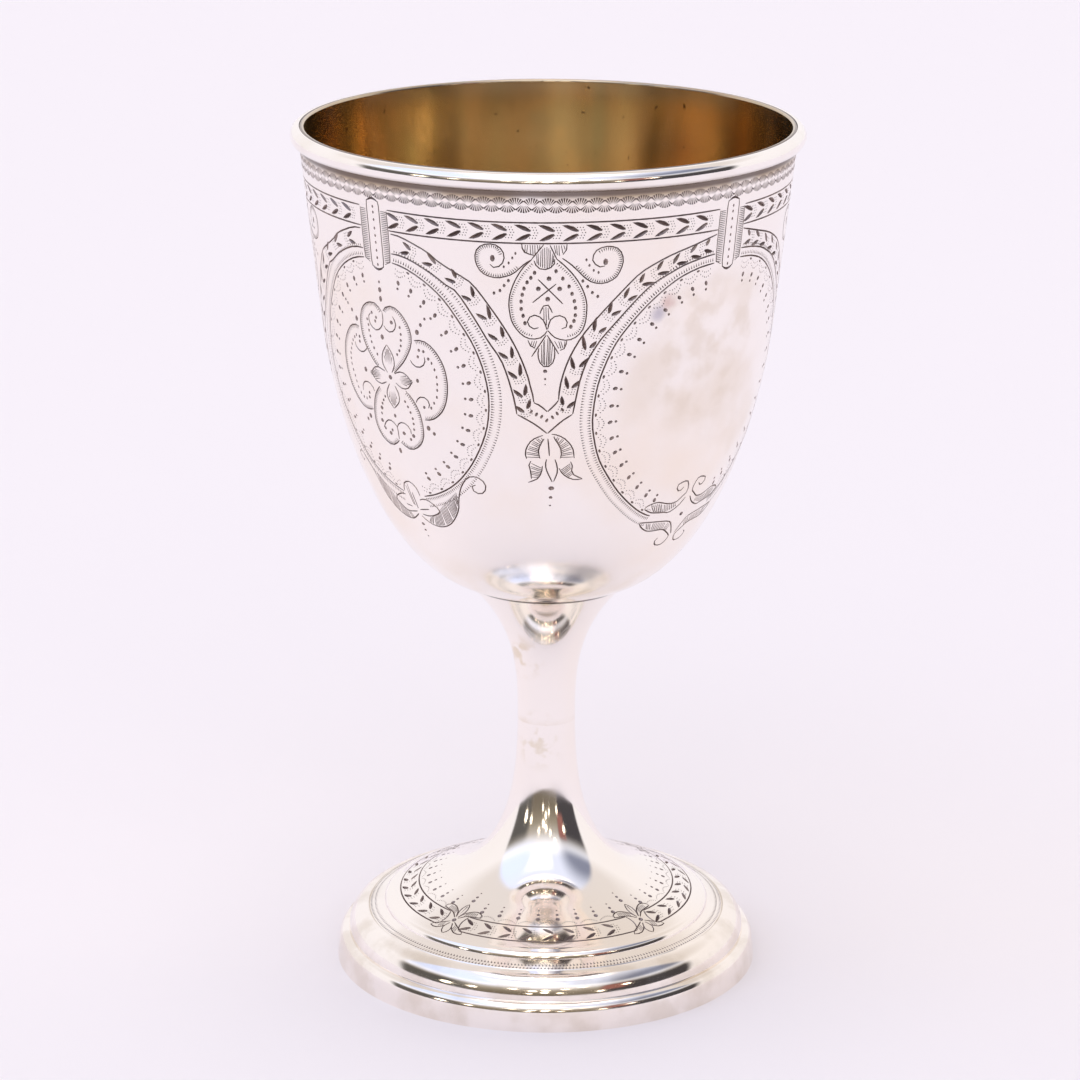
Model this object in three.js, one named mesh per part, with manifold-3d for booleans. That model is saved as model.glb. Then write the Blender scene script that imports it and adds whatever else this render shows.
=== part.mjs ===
// A silver goblet with an engraved bowl, gilt inside. Millimetres, +Z up,
// origin at the centre of the foot's underside, the front towards -Y.
import * as THREE from "three";
import { mergeVertices } from "three/addons/utils/BufferGeometryUtils.js";
import Module from "manifold-3d";

// Driving dimensions
const HEIGHT = 155; // foot underside to the top of the lip
const RIM_RADIUS = 45; // over the rim wire
const WIRE_PROJECTION = 1.6; // how far the rim wire stands off the wall
const WIRE_HEIGHT = 3.2; // rim wire, top to bottom
const BOWL_WALL = 0.9; // sheet thickness of the bowl
const BELLY_RADIUS = 39.75; // where the round belly turns into the straight wall
const BELLY_HEIGHT = 120; // height of that place above the table
const JOINT_RADIUS = 14.4; // outer radius of the joint under the bowl
const JOINT_HEIGHT = 71.8; // height of that joint
const SEAT_WIDTH = 1.3; // width of the stem's rim that the bowl sits on
const BOWL_DROP = 2.4; // how far the bowl's bottom hangs below the joint
const STEM_RADIUS = 5.25; // outer radius at the seam, the thinnest place
const STEM_WALL = 0.9; // sheet thickness of both trumpets of the stem
const SEAM_HEIGHT = 45.5; // where upper and lower trumpet meet
const FOOT_RADIUS = 38.5; // at the base edge
const FOOT_WALL = 1.1; // sheet thickness of the foot
const BASE_LIP_HEIGHT = 5; // upright band round the base
const GROOVE_RADIUS = 36.4; // quirk above the base lip
const ROUND_RADIUS = 32.7; // where the big round moulding starts
const ROUND_HEIGHT = 9.3; // top of that moulding
const SHELF_RADIUS = 30; // inner edge of the milled shelf
const SHELF_HEIGHT = 10.2; // height of that edge
const DOME_RADIUS = 19; // where the stem's flare turns into the dome
const DOME_HEIGHT = 15.5; // height of that place
const DOME_EDGE_WIDTH = 1.6; // small round edge that ends the dome
const DOME_EDGE_HEIGHT = 1.2;
const CUT_DEPTH = 0.45; // depth of the engraved cuts
const CUT_WIDTH = 0.7; // width of the engraved lines
const LEAF_WIDTH = 1.1; // width of the leaf cuts
const QUARTERS = 4; // the engraving repeats round the bowl
const CHEVRONS = 12; // leaf pairs of the band in each quarter
const SIDES = 32; // facets round every turned piece

// The engraving is drawn on a flat sheet of its own units: x across, one quarter
// being SHEET_QUARTER wide, and y down from the rim wire to the joint.
const SHEET_QUARTER = 62.8;
const SHEET_DROP = 89;
const BAND = { top: 5.6, bottom: 9.1 };
const STRAP = { top: 3.9, bottom: 16.2, half: 1.35, wing: 3 };
const MEDALLION = { y: 36.6, across: 20.6, up: 22, down: 21.6 };
const CROSS = { y: 35.7, reach: 13, spread: 6.2 };
const HEART = { top: 9.6, bottom: 26, spread: 6.3 };
const GARLAND_TIPS = { outer: 39, inner: 43 };

const wasm = await Module();
wasm.setup();
const vec = (x, y) => new THREE.Vector2(x, y);

// Outlines, as points of radius and height
function arcTo(start, control, end, steps) {
  return new THREE.QuadraticBezierCurve(start, control, end).getPoints(steps);
}

// A cubic curve whose two pulls are given as shares of its width and height.
function pulledCurve(start, end, low, high) {
  const across = (share) => start.x + (end.x - start.x) * share;
  const up = (share) => start.y + (end.y - start.y) * share;
  const first = vec(across(low[0]), up(low[1]));
  const second = vec(across(high[0]), up(high[1]));
  return new THREE.CubicBezierCurve(start, first, second, end);
}

// Full below and nearly straight above, as a raised goblet is.
function bellyPoints(steps) {
  const joint = vec(JOINT_RADIUS, JOINT_HEIGHT);
  const shoulder = vec(BELLY_RADIUS, BELLY_HEIGHT);
  return pulledCurve(joint, shoulder, [0.7, 0.12], [0.953, 0.78]).getPoints(steps);
}

// Upright at the seam, then flaring out to the dome.
function flarePoints(steps) {
  const seam = vec(STEM_RADIUS, SEAM_HEIGHT);
  const dome = vec(DOME_RADIUS, DOME_HEIGHT);
  return pulledCurve(seam, dome, [0, 0.67], [0.38, 0.9]).getPoints(steps);
}

// Moves an outline inwards by the thickness of the sheet.
function inset(points, wall) {
  return points.map((point, i) => {
    const before = points[Math.max(i - 1, 0)];
    const after = points[Math.min(i + 1, points.length - 1)];
    const along = after.clone().sub(before).normalize();
    return vec(point.x - along.y * wall, point.y + along.x * wall);
  });
}

// Turned pieces
function turned(points) {
  const lathe = new THREE.LatheGeometry(points, SIDES);
  lathe.rotateX(Math.PI / 2);
  lathe.deleteAttribute("normal");
  lathe.deleteAttribute("uv");
  const merged = mergeVertices(lathe, 1e-5);
  const source = merged.index.array;
  const kept = [];
  for (let i = 0; i < source.length; i += 3) {
    const [a, b, c] = [source[i], source[i + 1], source[i + 2]];
    if (a !== b && b !== c && c !== a) kept.push(a, b, c);
  }
  merged.setIndex(kept);
  return merged;
}

function toSolid(geometry) {
  const mesh = new wasm.Mesh({
    numProp: 3,
    vertProperties: new Float32Array(geometry.attributes.position.array),
    triVerts: new Uint32Array(geometry.index.array),
  });
  return new wasm.Manifold(mesh);
}

function toGeometry(solid) {
  const mesh = solid.getMesh();
  const geometry = new THREE.BufferGeometry();
  geometry.setAttribute("position", new THREE.BufferAttribute(mesh.vertProperties, 3));
  geometry.setIndex(new THREE.BufferAttribute(mesh.triVerts, 1));
  return geometry;
}

// A map from the flat drawing to the turned outline, as a place and the way out of the wall.
function wallMap(outline) {
  const lengths = [0];
  for (let i = 1; i < outline.length; i += 1) {
    lengths.push(lengths[i - 1] + outline[i].distanceTo(outline[i - 1]));
  }
  const total = lengths[lengths.length - 1];
  return (x, y) => {
    const along = THREE.MathUtils.clamp(y / SHEET_DROP, 0, 1) * total;
    let i = 1;
    while (i < lengths.length - 1 && lengths[i] < along) i += 1;
    const share = (along - lengths[i - 1]) / (lengths[i] - lengths[i - 1]);
    const point = outline[i - 1].clone().lerp(outline[i], share);
    const slope = outline[i].clone().sub(outline[i - 1]).normalize();
    const turn = (x / SHEET_QUARTER) * ((2 * Math.PI) / QUARTERS);
    const [sin, cos] = [Math.sin(turn), Math.cos(turn)];
    const place = new THREE.Vector3(point.x * sin, -point.x * cos, point.y);
    const out = new THREE.Vector3(-slope.y * sin, slope.y * cos, slope.x);
    return { place, out };
  };
}

// A V-shaped cutter along a path of drawing points. It stands as far above the wall as it
// cuts into it, so it is twice the line's width there. The ends of a leaf taper.
function vCut(map, { path, width, closed = false, taper = false }) {
  const slimmest = 0.12;
  const stations = path.map(([x, y]) => map(x, y));
  const last = stations.length - 1;
  const corners = [];
  stations.forEach(({ place, out }, i) => {
    const before = stations[closed ? (i + last) % (last + 1) : Math.max(i - 1, 0)].place;
    const after = stations[closed ? (i + 1) % (last + 1) : Math.min(i + 1, last)].place;
    const along = after.clone().sub(before).normalize();
    const side = new THREE.Vector3().crossVectors(out, along).normalize();
    const share = taper ? slimmest + (1 - slimmest) * Math.sin((Math.PI * i) / last) : 1;
    const top = place.clone().addScaledVector(out, CUT_DEPTH * share);
    corners.push(top.clone().addScaledVector(side, width * share));
    corners.push(top.clone().addScaledVector(side, -width * share));
    corners.push(place.clone().addScaledVector(out, -CUT_DEPTH * share));
  });
  const faces = [];
  const count = stations.length;
  for (let i = 0; i < (closed ? count : last); i += 1) {
    const [a, b] = [3 * i, 3 * ((i + 1) % count)];
    for (let k = 0; k < 3; k += 1) {
      const next = (k + 1) % 3;
      faces.push(a + k, b + next, b + k, a + k, a + next, b + next);
    }
  }
  if (!closed) {
    const end = 3 * last;
    faces.push(0, 2, 1, end, end + 1, end + 2);
  }
  const geometry = new THREE.BufferGeometry().setFromPoints(corners);
  geometry.setIndex(faces);
  return toSolid(geometry);
}

// Drawing helpers: each gives a path of [x, y] points.
function curvePath(points, steps) {
  const curve = new THREE.SplineCurve(points.map(([x, y]) => vec(x, y)));
  return curve.getSpacedPoints(steps).map((point) => [point.x, point.y]);
}

function shifted(path, dx) {
  return path.map(([x, y]) => [x + dx, y]);
}

function mirrored(path) {
  return path.map(([x, y]) => [-x, y]);
}

// The garland's two lines hang from the straps and meet in a V between two medallions.
function garlandCuts() {
  const outer = [[-28.4, 9.6], [-17.5, 13.8], [-8.6, 23.2], [-2.4, 36.8]];
  const inner = [[-28.4, 12.8], [-18.3, 17], [-9.8, 26.7], [-5.2, 39.6]];
  return [[outer, GARLAND_TIPS.outer], [inner, GARLAND_TIPS.inner]].map(([anchors, tip]) => {
    const side = curvePath(anchors, 4);
    const across = mirrored(side).reverse();
    return { path: [...side, [0, tip], ...across], width: CUT_WIDTH };
  });
}

// The pointed leaves of the band, in pairs that meet at their tips.
function chevronCuts() {
  const clear = SHEET_QUARTER / 2 - STRAP.wing;
  const pitch = (2 * clear) / CHEVRONS;
  const middle = (BAND.top + BAND.bottom) / 2;
  const spread = (BAND.bottom - BAND.top) * 0.36;
  const cuts = [];
  for (let i = 0; i < CHEVRONS; i += 1) {
    const tip = -clear + pitch * (i + 0.8);
    const back = tip - pitch * 0.5;
    const path = [[back, middle - spread], [tip, middle], [back, middle + spread]];
    cuts.push({ path, width: LEAF_WIDTH, taper: true });
  }
  return cuts;
}

// The strap that seems to hold a medallion to the band, with a line at each side.
function strapCuts() {
  const centre = SHEET_QUARTER / 2;
  const { top, bottom, half, wing } = STRAP;
  const upper = [[-half, top + half], [0, top], [half, top + half]];
  const lower = [[half, bottom - half], [0, bottom], [-half, bottom - half]];
  const tab = { path: shifted([...upper, ...lower], centre), width: CUT_WIDTH, closed: true };
  const sides = [-wing, wing].map((x) => {
    const line = [[x, BAND.bottom], [x, bottom - half]];
    return { path: shifted(line, centre), width: CUT_WIDTH };
  });
  return [tab, ...sides];
}

function medallionCuts() {
  const steps = 16;
  const centre = SHEET_QUARTER / 2;
  const path = [];
  for (let i = 0; i < steps; i += 1) {
    const turn = (2 * Math.PI * i) / steps;
    const height = Math.sin(turn) > 0 ? MEDALLION.down : MEDALLION.up;
    path.push([centre + MEDALLION.across * Math.cos(turn), MEDALLION.y + height * Math.sin(turn)]);
  }
  return [{ path, width: CUT_WIDTH, closed: true }];
}

// The heart-shaped leaf under the band, between two medallions.
function heartCuts() {
  const { top, bottom, spread } = HEART;
  const deep = bottom - top;
  const shape = [[0, 0], [-0.72, 0.28], [-1, 0.62], [-0.72, 0.92], [-0.35, 1], [0, 0.88]];
  const half = curvePath(shape.map(([a, b]) => [a * spread, top + b * deep]), 5);
  const back = mirrored(half).reverse().slice(1, -1);
  return [{ path: [...half, ...back], width: CUT_WIDTH, closed: true }];
}

// The four heart-shaped lobes in every second medallion.
function crossCuts() {
  const centre = SHEET_QUARTER / 2;
  const lobe = [[0, 0.12], [-0.75, 0.5], [-1, 0.7], [-0.55, 1], [0, 0.9]];
  const half = curvePath(lobe.map(([a, b]) => [a * CROSS.spread, b * CROSS.reach]), 3);
  const loop = [...half, ...mirrored(half).reverse().slice(1, -1)];
  return [0, 1, 2, 3].map((step) => {
    const turn = (Math.PI / 2) * step;
    const [sin, cos] = [Math.sin(turn), Math.cos(turn)];
    const path = loop.map(([a, b]) => [centre + a * cos + b * sin, CROSS.y + a * sin - b * cos]);
    return { path, width: CUT_WIDTH, closed: true };
  });
}

// Metals
const silver = new THREE.MeshStandardMaterial({ color: 0xe9e2d8, metalness: 1, roughness: 0.16 });
const giltSilver = new THREE.MeshStandardMaterial({ color: 0xe4d7b4, metalness: 1, roughness: 0.18 });
const wornSilver = new THREE.MeshStandardMaterial({ color: 0xe2dad0, metalness: 1, roughness: 0.2 });

const lipRadius = RIM_RADIUS - WIRE_PROJECTION;
const wireFoot = HEIGHT - WIRE_HEIGHT;
const wireTop = HEIGHT - BOWL_WALL / 2;
const seatInner = JOINT_RADIUS - SEAT_WIDTH;
const seatInnerHeight = JOINT_HEIGHT - SEAT_WIDTH / 3;

// A V line cut round the straight wall at drawing height y, as three points of the outline.
function ringGroove(belly, top, y) {
  const lengths = belly.slice(1).map((point, i) => point.distanceTo(belly[i]));
  const shoulder = belly[belly.length - 1];
  const total = lengths.reduce((sum, length) => sum + length, 0) + top.distanceTo(shoulder);
  const down = shoulder.clone().sub(top).normalize();
  const middle = top.clone().addScaledVector(down, (total * y) / SHEET_DROP);
  const low = middle.clone().addScaledVector(down, CUT_WIDTH / 2);
  const high = middle.clone().addScaledVector(down, -CUT_WIDTH / 2);
  const inwards = vec(down.y, -down.x);
  return [low, middle.addScaledVector(inwards, CUT_DEPTH), high];
}

// Bowl: raised from one sheet, closed below, open above
function bowlPiece() {
  const bottom = vec(0, JOINT_HEIGHT - BOWL_DROP);
  const underside = arcTo(bottom, vec(seatInner / 2, bottom.y), vec(seatInner, seatInnerHeight), 2);
  const belly = bellyPoints(6);
  const top = vec(lipRadius, wireFoot);
  const plain = [...underside, ...belly, top];
  const lines = [BAND.bottom, BAND.top].flatMap((y) => ringGroove(belly, top, y));
  const outside = [...underside, ...belly, ...lines, top];
  const inner = inset(plain, BOWL_WALL);
  inner[0] = vec(0, bottom.y + BOWL_WALL);
  const corner = vec(lipRadius, HEIGHT);
  const lip = arcTo(vec(lipRadius, wireTop), corner, vec(lipRadius - BOWL_WALL / 2, HEIGHT), 2);
  const throat = vec(lipRadius - BOWL_WALL, wireTop);
  const body = turned([...outside, ...lip, throat, ...inner.reverse()]);
  const map = wallMap([top, ...belly.reverse()]);
  const plainQuarter = [
    ...chevronCuts(),
    ...garlandCuts(),
    ...heartCuts(),
    ...strapCuts(),
    ...medallionCuts(),
  ];
  let solid = toSolid(body);
  for (let quarter = 0; quarter < QUARTERS; quarter += 1) {
    const cuts = quarter % 2 === 1 ? [...plainQuarter, ...crossCuts()] : plainQuarter;
    for (const cut of cuts) {
      const path = shifted(cut.path, quarter * SHEET_QUARTER);
      solid = solid.subtract(vCut(map, { ...cut, path }));
    }
  }
  return new THREE.Mesh(toGeometry(solid), giltSilver);
}

// Rim wire: a half-round moulding soldered round the lip
function rimWire() {
  const middle = HEIGHT - WIRE_HEIGHT / 2;
  const points = [vec(lipRadius, wireFoot)];
  const steps = 4;
  for (let i = 1; i < steps; i += 1) {
    const turn = -Math.PI / 2 + (Math.PI * i) / steps;
    const out = lipRadius + WIRE_PROJECTION * Math.cos(turn);
    points.push(vec(out, middle + (WIRE_HEIGHT / 2) * Math.sin(turn)));
  }
  points.push(vec(lipRadius, wireTop));
  points.push(points[0].clone());
  return new THREE.Mesh(turned(points), silver);
}

// Stem: the upper trumpet, an open tube that the bowl sits on
function stem() {
  const rise = JOINT_HEIGHT - SEAM_HEIGHT;
  const spread = JOINT_RADIUS - STEM_RADIUS;
  const flaring = 3.2;
  const steps = 6;
  const outside = [];
  for (let i = 0; i <= steps; i += 1) {
    const share = 1 - (1 - i / steps) ** 1.5;
    outside.push(vec(STEM_RADIUS + spread * share ** flaring, SEAM_HEIGHT + rise * share));
  }
  const bore = [0.88, 0.66, 0.3, 0].map((share) => {
    const radius = STEM_RADIUS + spread * share ** flaring - STEM_WALL;
    return vec(radius, SEAM_HEIGHT + rise * share);
  });
  const mouth = vec(seatInner, seatInnerHeight);
  const profile = [...outside, mouth, ...bore, outside[0].clone()];
  return new THREE.Mesh(turned(profile), wornSilver);
}

// Foot: the lower trumpet spreading into a stepped dome, hollow from beneath
function footPiece() {
  const shelf = vec(SHELF_RADIUS, SHELF_HEIGHT);
  const domeEnd = vec(SHELF_RADIUS - DOME_EDGE_WIDTH, SHELF_HEIGHT + DOME_EDGE_HEIGHT);
  const domeHigh = vec((DOME_RADIUS + domeEnd.x) / 2, (DOME_HEIGHT + domeEnd.y) / 2 + 0.3);
  const dome = arcTo(vec(DOME_RADIUS, DOME_HEIGHT), domeHigh, domeEnd, 2);
  const domeEdge = vec(SHELF_RADIUS - DOME_EDGE_WIDTH / 8, SHELF_HEIGHT + DOME_EDGE_HEIGHT * 0.67);
  const round = vec(ROUND_RADIUS, ROUND_HEIGHT);
  const groove = vec(GROOVE_RADIUS, BASE_LIP_HEIGHT);
  const roll = arcTo(round, vec(GROOVE_RADIUS - 0.4, ROUND_HEIGHT - 0.7), groove, 3);
  const lipIn = vec(GROOVE_RADIUS + 0.2, BASE_LIP_HEIGHT);
  const lipOut = vec(FOOT_RADIUS - 0.4, BASE_LIP_HEIGHT * 0.64);
  const lip = arcTo(lipIn, vec(FOOT_RADIUS - 0.6, BASE_LIP_HEIGHT * 0.92), lipOut, 2);
  const outside = [
    ...flarePoints(5),
    ...dome.slice(1),
    domeEdge,
    shelf,
    ...roll,
    ...lip,
    vec(FOOT_RADIUS, 0),
  ];
  const inside = [
    vec(FOOT_RADIUS - FOOT_WALL, 0),
    vec(GROOVE_RADIUS - FOOT_WALL, BASE_LIP_HEIGHT * 0.9),
    vec(ROUND_RADIUS - 0.2, ROUND_HEIGHT - FOOT_WALL),
    vec(SHELF_RADIUS - FOOT_WALL, SHELF_HEIGHT - FOOT_WALL),
    vec(DOME_RADIUS, DOME_HEIGHT - FOOT_WALL),
  ];
  const bore = inset(flarePoints(3).reverse(), STEM_WALL).slice(1);
  bore[bore.length - 1].set(STEM_RADIUS - STEM_WALL, SEAM_HEIGHT);
  const profile = [...outside, ...inside, ...bore, outside[0].clone()].reverse();
  return new THREE.Mesh(turned(profile), silver);
}

const group = new THREE.Group();
const pieces = { bowl: bowlPiece(), rim_wire: rimWire(), stem: stem(), foot: footPiece() };
for (const [name, piece] of Object.entries(pieces)) {
  piece.name = name;
  group.add(piece);
}

export default group;
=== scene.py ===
import math
import bpy
import numpy as np
from mathutils import Euler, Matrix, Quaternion, Vector


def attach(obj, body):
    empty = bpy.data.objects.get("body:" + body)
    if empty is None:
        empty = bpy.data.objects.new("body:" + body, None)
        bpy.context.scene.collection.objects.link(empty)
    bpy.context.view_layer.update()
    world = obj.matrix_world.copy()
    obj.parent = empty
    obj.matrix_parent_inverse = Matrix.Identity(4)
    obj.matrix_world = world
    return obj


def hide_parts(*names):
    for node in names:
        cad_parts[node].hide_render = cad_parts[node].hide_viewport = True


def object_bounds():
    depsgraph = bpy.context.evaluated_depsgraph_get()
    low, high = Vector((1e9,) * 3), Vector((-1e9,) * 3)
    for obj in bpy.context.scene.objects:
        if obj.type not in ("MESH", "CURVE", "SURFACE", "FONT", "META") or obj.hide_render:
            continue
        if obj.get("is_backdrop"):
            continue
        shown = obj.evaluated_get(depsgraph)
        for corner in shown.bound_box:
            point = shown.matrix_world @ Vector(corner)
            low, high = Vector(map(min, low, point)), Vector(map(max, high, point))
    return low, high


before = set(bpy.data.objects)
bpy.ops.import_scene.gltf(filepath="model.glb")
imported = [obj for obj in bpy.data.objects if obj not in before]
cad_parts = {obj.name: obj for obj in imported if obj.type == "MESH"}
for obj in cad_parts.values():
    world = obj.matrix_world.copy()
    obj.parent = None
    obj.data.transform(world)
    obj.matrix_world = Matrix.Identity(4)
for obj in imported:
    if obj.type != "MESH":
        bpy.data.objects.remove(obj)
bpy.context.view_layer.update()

scene = bpy.context.scene
scene.view_settings.view_transform = "Standard"

# ---------------------------------------------------------------- camera
# A long lens, about 17 degrees above level. Its place and turn were fitted to the rings of the
# rim and the foot.
bpy.ops.object.camera_add(location=(0, -0.67399, 0.28383))
camera = bpy.context.object
camera.name = "camera"
camera.rotation_mode = "QUATERNION"
tilt = Euler((math.radians(73.101), 0, 0)).to_quaternion()
camera.rotation_quaternion = tilt @ Quaternion((0, 0, 1), math.radians(0.1846))
camera.data.lens = 130.57
camera.data.sensor_width = 36
camera.data.shift_x = -0.006429
camera.data.clip_start = 0.05
scene.camera = camera

# ---------------------------------------------------------------- table
# White paper under and behind the goblet. It ends a little behind the camera, as the
# reflections in the foot show.
bpy.ops.mesh.primitive_plane_add(size=6, location=(0, 2.05, 0))
floor = bpy.context.object
floor.name = "floor"
paper = bpy.data.materials.new("paper")
paper.use_nodes = True
shader = paper.node_tree.nodes["Principled BSDF"]
shader.inputs["Base Color"].default_value = (0.93, 0.87, 0.87, 1)
shader.inputs["Roughness"].default_value = 0.7
shader.inputs["Specular IOR Level"].default_value = 0
floor.data.materials.append(paper)
floor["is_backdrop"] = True

# ---------------------------------------------------------------- room and light
# White walls and ceiling behind, a dim room on the camera's side with a few lamps, and a
# bluish window high up in it. It gives all the light, and shows in the silver.
world = bpy.data.worlds.new("room")
world.use_nodes = True
scene.world = world
tree = world.node_tree
background = tree.nodes["Background"]
direction = tree.nodes.new("ShaderNodeTexCoord").outputs["Generated"]
parts = tree.nodes.new("ShaderNodeSeparateXYZ")
tree.links.new(direction, parts.inputs[0])


def fade(value, low, high, first=0.0, last=1.0):
    node = tree.nodes.new("ShaderNodeMapRange")
    node.interpolation_type = "SMOOTHSTEP"
    tree.links.new(value, node.inputs["Value"])
    for socket, number in zip(("From Min", "From Max", "To Min", "To Max"), (low, high, first, last)):
        node.inputs[socket].default_value = number
    return node.outputs["Result"]


def times(first, second):
    node = tree.nodes.new("ShaderNodeMath")
    node.operation = "MULTIPLY"
    tree.links.new(first, node.inputs[0])
    tree.links.new(second, node.inputs[1])
    return node.outputs[0]


def over(share, under, colour):
    node = tree.nodes.new("ShaderNodeMix")
    node.data_type = "RGBA"
    tree.links.new(share, node.inputs[0])
    for socket, source in ((node.inputs[6], under), (node.inputs[7], colour)):
        if isinstance(source, tuple):
            socket.default_value = (*source, 1)
        else:
            tree.links.new(source, socket)
    return node.outputs[2]


def ramp(value, stops):
    node = tree.nodes.new("ShaderNodeValToRGB")
    tree.links.new(value, node.inputs[0])
    while len(node.color_ramp.elements) < len(stops):
        node.color_ramp.elements.new(0.5)
    for element, (place, colour) in zip(node.color_ramp.elements, stops):
        element.position = place
        element.color = (*colour, 1)
    return node.outputs[0]


def spot(aim, size):
    node = tree.nodes.new("ShaderNodeVectorMath")
    node.operation = "DISTANCE"
    tree.links.new(direction, node.inputs[0])
    node.inputs[1].default_value = Vector(aim).normalized()
    return fade(node.outputs["Value"], size * 0.7, size, 1, 0)


across, along, up = parts.outputs
room = ramp(fade(up, -0.1, 0.9), [
    (0.0, (0.15, 0.125, 0.095)),
    (0.12, (0.19, 0.16, 0.12)),
    (0.3, (0.30, 0.26, 0.20)),
    (0.48, (0.46, 0.42, 0.38)),
    (0.64, (0.80, 0.79, 0.82)),
    (0.78, (1.12, 1.14, 1.24)),
    (0.92, (0.75, 0.80, 0.98)),
])
red = times(fade(across, 0.48, 0.54), fade(across, 0.74, 0.68))
room = over(times(fade(across, 0.45, 0.6), fade(up, 0.6, 0.35)), room, (0.06, 0.055, 0.06))
room = over(times(red, times(fade(up, 0.12, 0.2), fade(up, 0.5, 0.4))), room, (0.30, 0.13, 0.11))
room = over(times(fade(across, 0.3, 0.65), fade(up, 0.45, 0.7)), room, (0.22, 0.24, 0.33))
room = over(times(fade(across, -0.6, -0.8), fade(up, 0.55, 0.3)), room, (0.10, 0.095, 0.09))
room = over(times(fade(across, -0.25, -0.6), fade(up, 0.4, 0.75)), room, (0.75, 0.86, 1.2))
window = times(fade(up, 0.6, 0.74), times(fade(across, -0.48, -0.28), fade(across, 0.22, 0.02)))
window = times(window, fade(up, 0.93, 0.80))
room = over(window, room, (1.5, 1.6, 1.85))
for aim, size in (
    ((-0.16, -1, 0.12), 0.035),
    ((-0.13, -1, 0.30), 0.05),
    ((-0.01, -1, 0.20), 0.045),
    ((0.0, -1, 0.36), 0.05),
    ((0.14, -1, 0.16), 0.035),
    ((-0.34, -1, 0.42), 0.045),
    ((0.20, -1, 0.44), 0.04),
    ((0.6, -1, 0.15), 0.04),
    ((-0.9, -1, 0.30), 0.05),
    ((1.1, -1, 0.50), 0.05),
    ((-1.6, -1, 0.30), 0.07),
    ((0.42, -1, 0.62), 0.04),
):
    room = over(spot(aim, size), room, (4.5, 4.0, 3.2))
walls = ramp(up, [
    (0.0, (0.84, 0.81, 0.83)),
    (0.55, (0.86, 0.83, 0.845)),
    (0.72, (0.71, 0.665, 0.65)),
    (0.92, (0.70, 0.655, 0.64)),
    (0.97, (1.9, 1.9, 2.0)),
    (1.0, (2.6, 2.6, 2.7)),
])
lean = tree.nodes.new("ShaderNodeMath")
lean.operation = "MULTIPLY_ADD"
tree.links.new(up, lean.inputs[0])
lean.inputs[1].default_value = -0.28
tree.links.new(along, lean.inputs[2])
inside = times(fade(lean.outputs[0], 0.02, -0.10), fade(up, 0.96, 0.92))
tree.links.new(over(inside, walls, room), background.inputs["Color"])
background.inputs["Strength"].default_value = 1.17

# ---------------------------------------------------------------- bowl
# Raised from one sheet of silver, engraved outside with V-shaped gravers and gilt inside.
# Turned from its outline here, then cut with one wedge for each stroke of the graver.


CUT, INSIDE = 1, 2  # material slots of a piece; 0 is its outside


def turned(name, outline, steps):
    """Spins a closed outline of (radius, height) points, in mm, round the axis."""
    bpy.ops.object.select_all(action="DESELECT")
    bpy.ops.mesh.primitive_circle_add(vertices=len(outline), radius=0.01, fill_type="NOTHING")
    piece = bpy.context.object
    piece.name = name
    piece.data.name = name
    for vertex, (radius, height) in zip(piece.data.vertices, outline):
        vertex.co = (0, -radius / 1000, height / 1000)
    bpy.ops.object.mode_set(mode="EDIT")
    bpy.ops.mesh.select_all(action="SELECT")
    bpy.ops.mesh.spin(steps=steps, angle=math.tau, center=(0, 0, 0), axis=(0, 0, 1))
    bpy.ops.mesh.select_all(action="SELECT")
    bpy.ops.mesh.remove_doubles(threshold=1e-6)
    bpy.ops.mesh.delete_loose()
    bpy.ops.mesh.select_all(action="SELECT")
    bpy.ops.mesh.normals_make_consistent(inside=False)
    bpy.ops.object.mode_set(mode="OBJECT")
    return piece


def bezier(points, steps):
    """Points on a quadratic or cubic curve, without its first one."""
    result = []
    for i in range(1, steps + 1):
        left = [Vector(p) for p in points]
        while len(left) > 1:
            left = [a.lerp(b, i / steps) for a, b in zip(left, left[1:])]
        result.append(tuple(left[0]))
    return result


def inset(points, wall):
    """The same outline, moved by the sheet's thickness to the left of its direction."""
    result = []
    for i, point in enumerate(points):
        before, after = points[max(i - 1, 0)], points[min(i + 1, len(points) - 1)]
        step = Vector((after[0] - before[0], after[1] - before[1])).normalized()
        result.append((point[0] - step.y * wall, point[1] + step.x * wall))
    return result


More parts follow.
